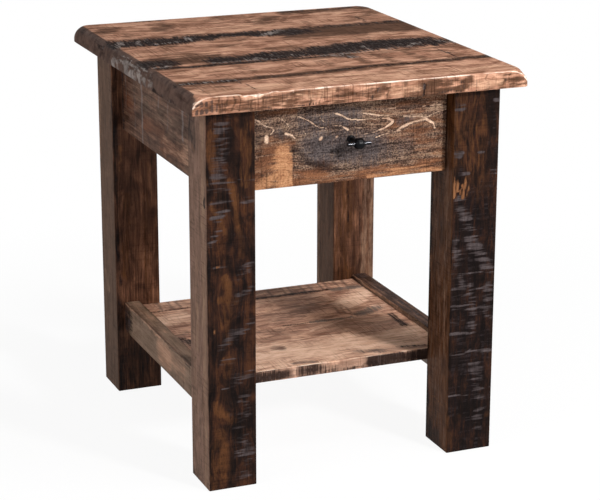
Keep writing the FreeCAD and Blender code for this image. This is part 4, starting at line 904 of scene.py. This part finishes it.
SHELF_MARKS = {
    "up": {
        "soot_and_shade": [
            (0, 144, 130, 145, 6, 0.9), (-190, 142, 0, 142, 3, 0.8), (176, -14, 173, -72, 9, 0.8),
            (-190, -5, -160, -50, 16, 0.8),
            (-12, -4, 110, -4, 3, 0.8), (120, -164, 160, -172, 5, 0.7),
        ],
        "umber": [
            *[(x, 150, x + 2, 188, 4.2, 0.9) for x in (-168, -150, -135, 30, 56, 68, 90, 105, 124, 135, 154, 170)],
            *[(x, 14, x + 3, 48, 3, 0.75) for x in (98, 108, 118)],
            (-10, 40, 90, 80, 38, 0.42), (40, 70, 100, 60, 26, 0.48), (-60, -20, -30, -25, 14, 0.6),
            (-62, -98, -56, -102, 13, 0.7), (-190, 165, 190, 165, 26, 0.3), (60, -30, 70, -60, 12, 0.4),
            (-60, -172, -30, -176, 10, 0.7), (-190, 8, -170, 24, 12, 0.7), (-195, -20, -165, -60, 18, 0.8),
            (80, -168, 160, -176, 10, 0.6), (-10, 175, 130, 175, 9, 0.4), (128, -60, 140, -80, 8, 0.5),
        ],
        "brown": [(60, -30, 150, -50, 50, 0.6), (-120, -60, 40, -40, 20, 0.3)],
        "ash": [
            (140, 140, 188, 141, 12, 0.9), (130, 5, 162, 22, 16, 0.85), (-60, -176, -30, -178, 7, 0.5),
            (50, -160, 90, -174, 10, 0.6), (40, -4, 110, -6, 9, 0.5), (170, 30, 186, 10, 10, 0.5),
        ],
        "bare_and_lit": [
            # The second stroke is partly paler wood, partly painted light: the whole front board made lighter as if
            # lit
            (125, 60, 185, 112, 30, 1.0), (-195, -130, 195, -135, 72, 0.85), (-185, 90, -150, 100, 30, 0.9),
            (-100, 90, -40, 100, 30, 0.5), (20, -44, 90, -12, 4, 0.8), (150, 20, 190, 40, 14, 0.5),
            (-20, 120, 110, 124, 12, 0.4),
        ],
    },
    "front": {
        "soot_and_shade": [
            (-190, 139, -82, 139, 13, 0.95), (-54, 140, -26, 140, 13, 0.85), (62, 140, 190, 140, 15, 1.05),
            (150, 140, 190, 140, 14, 1.3), (-20, 133, 56, 133, 5, 0.6), (-12, 140, 8, 140, 7, 0.45),
        ],
        "umber": [
            (-190, 140, -76, 140, 13, 1.3), (-56, 140, -22, 140, 13, 1.6), (56, 140, 190, 140, 14, 1.9),
            (-22, 137, 56, 136, 6, 0.9), (-10, 140, 6, 140, 8, 0.6),
        ],
        "brown": [(-22, 141, 56, 141, 12, 1.0), (-126, 143, -90, 143, 6, 0.6)],
        "bare_and_lit": [(-75, 141, -55, 141, 9, 0.7), (-190, 149.5, 150, 149.5, 1.6, 0.5), (20, 143, 55, 144, 5, 0.3)],
    },
}
SHELF_LOW, SHELF_HIGH = (-194.8, -187.0, 131.0), (194.8, 187.0, 150.0)
SHELF_SEAMS = (-4.9, 139.5)
for number, label in enumerate(("front", "middle", "back")):
    board = sawn_board(
        SHELF_LOW, SHELF_HIGH,
        (SHELF_SEAMS[number - 1] if number else None, SHELF_SEAMS[number] if number < 2 else None),
        corners=(1.5,) * 4, upper=2.0, lower=1.0, waver=0.2, steps=(2.2, 2.2, 3.0), seed=71)
    wooden_piece(
        # The front board's front arris is painted pale: worn wood and a painted highlight
        f"shelf_plank_{label}", [board], FLAT, 0, SHELF_MARKS, "table",
        [f"shelf_board_{label}"], shelf_wood, seed=71 + number, ragged=1.8,
        rubbed_and_highlight=0.0 if number else 0.45)


# Drawer front: one wide board, inset flush, sawn fine and stained charcoal brown.
# Beetle tracks under the bark left shallow winding grooves, and the stain wore off along them.

# Hickory drawer front, sawn fine and rubbed with charcoal stain: dark flecks, warm patches, pale tracks
front_wood = rustic_wood(
    "hickory_drawer_front_tracked", ("#2A1F19", "#4A382F", "#6C5344", "#8F7662"), {
        "umber": ("#482C1E", "#7E543A", "fibres", 2.4, 0.5),
        "brown": ("#7E5036", "#BA8A64", "fibres", 1.2, 0.5),
        "ash": ("#201918", "#5C5352", "saw", 1.4, 0.5),
        # The charcoal stain also paints the shadow that the tabletop casts along the top edge
        "soot_and_shade": ("#170F0D", "#2A1E19", "fibres", 1.6, 0.5),
        "bare_and_lit": ("#94705A", "#DCBEA4", "fibres", 1.4, 0.5),
        "rubbed_and_highlight": ("#5A4234", "#8E7260", "fibres", 1.4, 0.4),
    }, saw_tint="#4A4242", figure=(0.34, 0.3, 0.26, 0.12), fibre_mm=1.0, saw_depth=0.3, saw_shade=0.4,
    speckle=1.9)

TRACKS = [
    # half its width, and the points that it winds through
    (1.3, [(-157, 560), (-147, 557), (-138, 550)]), (1.0, [(-138, 550), (-132, 546), (-124, 544)]),
    (1.3, [(-124, 544), (-121, 540), (-123, 537)]), (0.8, [(-123, 537), (-127, 534)]),
    (0.9, [(-119, 560), (-109, 555), (-104, 551)]), (0.6, [(-104, 551), (-99, 546), (-97, 541), (-100, 536)]),
    (2.5, [(-103, 533), (-99, 531)]), (1.9, [(-99, 531), (-93, 529), (-89, 525)]),
    (1.1, [(-84, 557), (-74, 553), (-66, 549)]), (0.9, [(-66, 549), (-56, 541), (-48, 537)]),
    (0.6, [(-48, 537), (-40, 536), (-36, 531)]),
    (0.6, [(-50, 552), (-44, 547), (-40, 545)]), (0.5, [(-80, 545), (-80, 538), (-74, 533), (-72, 526)]),
    (1.4, [(-25, 556), (-14, 552), (-4, 547)]), (1.0, [(-4, 547), (14, 543), (30, 543), (46, 543)]),
    (0.8, [(-30, 539), (-20, 538), (-12, 536)]), (2.0, [(-11, 535), (-7, 532), (-5, 530)]),
    (1.4, [(20, 553), (34, 550), (46, 548)]), (0.9, [(46, 548), (62, 546)]),
    (1.3, [(50, 543), (60, 542)]), (2.5, [(60, 542), (69, 537), (63, 532)]),
    (1.8, [(63, 532), (54, 528), (46, 526)]), (0.8, [(46, 526), (34, 522), (22, 521)]),
    (1.6, [(85, 543), (96, 542)]), (1.1, [(96, 542), (110, 540), (124, 538)]),
    (0.8, [(124, 538), (134, 542), (156, 548)]),
    (2.4, [(76, 523), (84, 526)]), (2.7, [(84, 526), (94, 530), (104, 532)]),
    (2.0, [(104, 532), (116, 534), (123, 535)]),
    (2.4, [(123, 535), (131, 531), (136, 528)]), (2.0, [(136, 528), (138, 520)]),
    (0.7, [(40, 515), (52, 518), (70, 521), (84, 522)]), (0.5, [(50, 557), (100, 556), (155, 555)]),
]
TRACK_DEPTH = 0.35
# Each leg of a track as a brush stroke: a little narrower than the track, and the wider the paler
track_strokes = [
    (*start, *end, 0.9 * half_width, min(0.62 + 0.3 * half_width, 1.15))
    for half_width, track in TRACKS for start, end in zip(track, track[1:])
]
FRONT_MARKS = {
    "front": {
        "soot_and_shade": [
            # Painted shadow: the first stroke darkens the top edge, where the tabletop's overhang shades it; the rest
            # are stain
            (-156, 579, 156, 579, 9, 0.9), (-150, 520, -140, 524, 14, 0.3), (-112, 530, -104, 545, 16, 0.35),
            (-90, 508, -62, 482, 9, 0.7), (-62, 482, -20, 472, 7, 0.6), (-20, 472, 30, 470, 5, 0.4),
            (-137, 543, -128, 552, 7, 0.4),
            *[(*stroke[:4], stroke[4] + 2.6, 0.4) for stroke in track_strokes],
        ],
        "umber": [
            (-150, 458, -118, 500, 40, 0.9), (-90, 462, -45, 468, 26, 0.8), (-85, 456, 30, 458, 12, 0.7),
            (60, 560, 150, 565, 12, 0.35), (20, 460, 150, 462, 15, 0.9), (-156, 455, -154, 560, 5, 0.4),
            (-140, 566, -90, 566, 9, 0.6), (60, 540, 156, 500, 44, 0.45), (-45, 521, -50, 521, 5, 0.7),
        ],
        "ash": [
            (-56, 510, 34, 500, 36, 0.9), (-78, 545, 0, 550, 24, 0.7), (50, 494, 90, 498, 22, 0.4),
            (-116, 538, -106, 532, 12, 0.5), (80, 535, 100, 540, 9, 0.5), (-128, 556, -130, 548, 7, 0.4),
        ],
        "brown": [
            (-107, 456, -107, 504, 16, 1.3), (-142, 456, -130, 466, 14, 0.8), (-96, 456, -96, 506, 5, 1.0),
            (-124, 462, -118, 498, 10, 0.4), (30, 456, 150, 457, 5, 0.6), (60, 463, 130, 464, 2.4, 0.5),
            (-154, 455, -154, 468, 4, 0.8), (100, 480, 150, 482, 6, 0.2),
        ],
        "bare_and_lit": [
            (-133, 524, -133, 530, 4.2, 1.3), (-49, 520, -47, 522, 3, 0.8), (-22, 521, -21, 522, 2.4, 0.7),
            (130, 510, 154, 513, 1.2, 0.5), *track_strokes,
        ],
    },
}
FRONT_LOW, FRONT_HIGH = (-156.8, 452.5, 222.5), (156.8, 580.0, 241.5)
drawer_board = sawn_board(
    FRONT_LOW, FRONT_HIGH, corners=(1.2,) * 4, upper=1.2, lower=0.8,
    steps=(1.3, 1.3, 3.0), seed=81)
wooden_piece(
    "drawer_front_board", [drawer_board], FACING_FRONT, 0, FRONT_MARKS, "drawer",
    ["drawer_front"], front_wood, seed=81, chatter=0.12, ragged=1.2,
    knots=[(-15, 515, 70, 40, 0.35), (-112, 470, 26, 20, 0.6)],
    dents=[("front", *stroke[:4], stroke[4] + 0.8, TRACK_DEPTH) for stroke in track_strokes])


# Knob: a black iron barrel on a neck and foot, with a thin bright bar through it. The barrel and
# foot keep the CAD mesh, and the bar is made anew, thicker than the CAD's, as the photograph has it.
def flat_material(name, colour, metallic, roughness, speckle_mm, depth, tint, shine=0.5):
    """A plain finish with a fine speckle of the given size in its colour, gloss and height."""
    made, tree = new_material(name)
    place = add(tree, "ShaderNodeTexCoord").outputs["Object"]
    speckle = add(tree, "ShaderNodeTexNoise", {
        "Vector": place, "Scale": 1000 / speckle_mm, "Detail": 4.0, "Roughness": 0.6}).outputs["Fac"]
    shade = add(tree, "ShaderNodeValToRGB", {"Fac": speckle}, stops=[
        (0.35, linear(colour)), (0.65, linear(tint))]).outputs["Color"]
    gloss = add(tree, "ShaderNodeMapRange", {
        "Value": speckle, "From Min": 0.3, "From Max": 0.7,
        "To Min": roughness - 0.06, "To Max": roughness + 0.08}).outputs["Result"]
    bump = add(tree, "ShaderNodeBump", {"Height": speckle, "Strength": 0.5, "Distance": depth / 1000})
    body = add(tree, "ShaderNodeBsdfPrincipled", {
        "Base Color": shade, "Metallic": metallic, "Roughness": gloss, "Normal": bump.outputs[0],
        "Specular IOR Level": shine})
    add(tree, "ShaderNodeOutputMaterial", {"Surface": body.outputs[0]})
    return made


# Sand-cast iron under black enamel: nearly no colour, and one soft highlight
black_iron = flat_material("iron_cast_black_enamelled", "#060608", 0.0, 0.34, 1.2, 0.02, "#0B0B0E", 0.08)
# Drawn steel rod, polished and black nickel plated: a bright streak above and dark below
black_bar = flat_material("steel_bar_black_nickel_polished", "#262628", 1.0, 0.2, 1.2, 0.005, "#2E2E30")

# The bar is a round rod with eased ends: rings of (x, radius) in mm, each turned about the x axis
BAR_PLACE, BAR_SIDES = (0.0, -272.5, 516.0), 32
BAR_RINGS = np.array([(-18.4, 2.5), (-17.8, 3.1), (17.8, 3.1), (18.4, 2.5)])
turns = np.arange(BAR_SIDES) * 2 * math.pi / BAR_SIDES
along, radius = BAR_RINGS[:, :1], BAR_RINGS[:, 1:]
bar_points = np.stack([along + 0 * turns, radius * np.cos(turns), radius * np.sin(turns)], axis=-1).reshape(-1, 3)
ring = [*range(BAR_SIDES)]
bar_faces = [
    (row + side, row + (side + 1) % BAR_SIDES, row + BAR_SIDES + (side + 1) % BAR_SIDES, row + BAR_SIDES + side)
    for row in range(0, 3 * BAR_SIDES, BAR_SIDES) for side in ring
] + [ring[::-1], [3 * BAR_SIDES + side for side in ring]]
bar_mesh = bpy.data.meshes.new("knob_cross_bar")
bar_mesh.from_pydata(((bar_points + BAR_PLACE) / 1000).tolist(), [], bar_faces)
bar_mesh.polygons.foreach_set("use_smooth", np.ones(len(bar_faces), bool))
bar_mesh.set_sharp_from_angle(angle=math.radians(40))
bar_mesh.materials.append(black_bar)
cross_bar = bpy.data.objects.new("knob_cross_bar", bar_mesh)
scene.collection.objects.link(cross_bar)
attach(cross_bar, "drawer")
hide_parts("knob_bar")


# Drawer box, slides, screws, felt and cleats: they keep the CAD meshes, planed, rolled or turned
# as they are, and only get materials. Every node gets one by its slot, the replaced ones too.
def planed_wood(name, tones, pitch, turn, gloss):
    """Planed and lacquered board on object coordinates: fibres 50 times longer than wide, turned so
    that they run along the piece, over slow bands of growth."""
    made, tree = new_material(name)
    place = add(tree, "ShaderNodeTexCoord").outputs["Object"]
    laid = add(tree, "ShaderNodeMapping", {"Vector": place, "Rotation": turn}).outputs[0]
    fine = add(tree, "ShaderNodeVectorMath", {0: laid, 1: (1000 / (50 * pitch), 1000 / pitch, 1000 / pitch)},
               operation="MULTIPLY")
    fibres = add(tree, "ShaderNodeTexNoise", {
        "Vector": fine.outputs[0], "Scale": 1.0, "Detail": 5.0, "Roughness": 0.6}).outputs["Fac"]
    broad = add(tree, "ShaderNodeVectorMath", {0: laid, 1: (3.2, 34.0, 34.0)}, operation="MULTIPLY")
    bands = add(tree, "ShaderNodeTexNoise", {
        "Vector": broad.outputs[0], "Scale": 1.0, "Detail": 3.0, "Distortion": 0.4}).outputs["Fac"]
    tone = add(tree, "ShaderNodeMath", {0: bands, 1: 0.5, 2: fibres}, operation="MULTIPLY_ADD").outputs[0]
    colour = add(tree, "ShaderNodeValToRGB", {"Fac": tone}, stops=[
        (0.55, linear(tones[0])), (0.75, linear(tones[1])), (0.95, linear(tones[2]))]).outputs["Color"]
    sheen = add(tree, "ShaderNodeMapRange", {
        "Value": fibres, "From Min": 0.3, "From Max": 0.7, "To Min": gloss - 0.05, "To Max": gloss + 0.1,
    }).outputs["Result"]
    bump = add(tree, "ShaderNodeBump", {"Height": fibres, "Strength": 0.4, "Distance": 0.00015})
    body = add(tree, "ShaderNodeBsdfPrincipled", {
        "Base Color": colour, "Roughness": sheen, "Normal": bump.outputs[0]})
    add(tree, "ShaderNodeOutputMaterial", {"Surface": body.outputs[0]})
    return made


ALONG_Y = (0.0, 0.0, math.pi / 2)
# Poplar, planed and stained: an even mid brown with faint straight fibres
stained_poplar = planed_wood("poplar_planed_brown_stained", ("#4A3527", "#634835", "#7A5B45"), 1.2, ALONG_Y, 0.5)
# Maple, planed and lacquered clear: pale straw with fine fibres along each board, and a soft gloss
clear_maple_sides = planed_wood("maple_planed_lacquered", ("#B8946A", "#CBA67C", "#D8B890"), 1.0, ALONG_Y, 0.38)
# The same boards where they run from side to side
clear_maple_ends = planed_wood("maple_planed_lacquered_ends", ("#B8946A", "#CBA67C", "#D8B890"), 1.0, (0, 0, 0), 0.38)
# Birch plywood, sanded and lacquered: paler still, with little figure
birch_panel = planed_wood("birch_plywood_lacquered", ("#C2A076", "#D2B48A", "#DFC49E"), 1.0, ALONG_Y, 0.4)

# Steel strip, cold-rolled and zinc plated: cool grey with a broad soft shine
zinc_plate = flat_material("steel_rolled_zinc_plated", "#A9ACAE", 1.0, 0.32, 2.5, 0.02, "#BDC0C2")
# Steel wire, headed and zinc plated: the same grey, finer in its speckle
screw_zinc = flat_material("steel_screws_zinc_plated", "#A3A5A4", 1.0, 0.3, 0.8, 0.02, "#B8BAB8")
# Pressed wool felt: a flat brown fuzz without shine
brown_felt = flat_material("wool_felt_pressed_brown", "#3A2E26", 0.0, 0.9, 0.5, 0.2, "#4C3E34")

NODE_FINISHES = {
    "drawer_wood": clear_maple_sides, "panel_wood": birch_panel, "knob_iron": black_iron,
    "slide_steel": zinc_plate, "screw_steel": screw_zinc, "felt": brown_felt, **dict.fromkeys(
        ("plain_wood", "top_wood", "leg_wood", "rail_wood", "shelf_wood", "front_wood"), stained_poplar),
}
for name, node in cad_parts.items():
    for slot in node.material_slots:
        finish = NODE_FINISHES[slot.material.name.split(".")[0]]
        if name.startswith("drawer_box"):
            finish = clear_maple_ends
        slot.material = finish
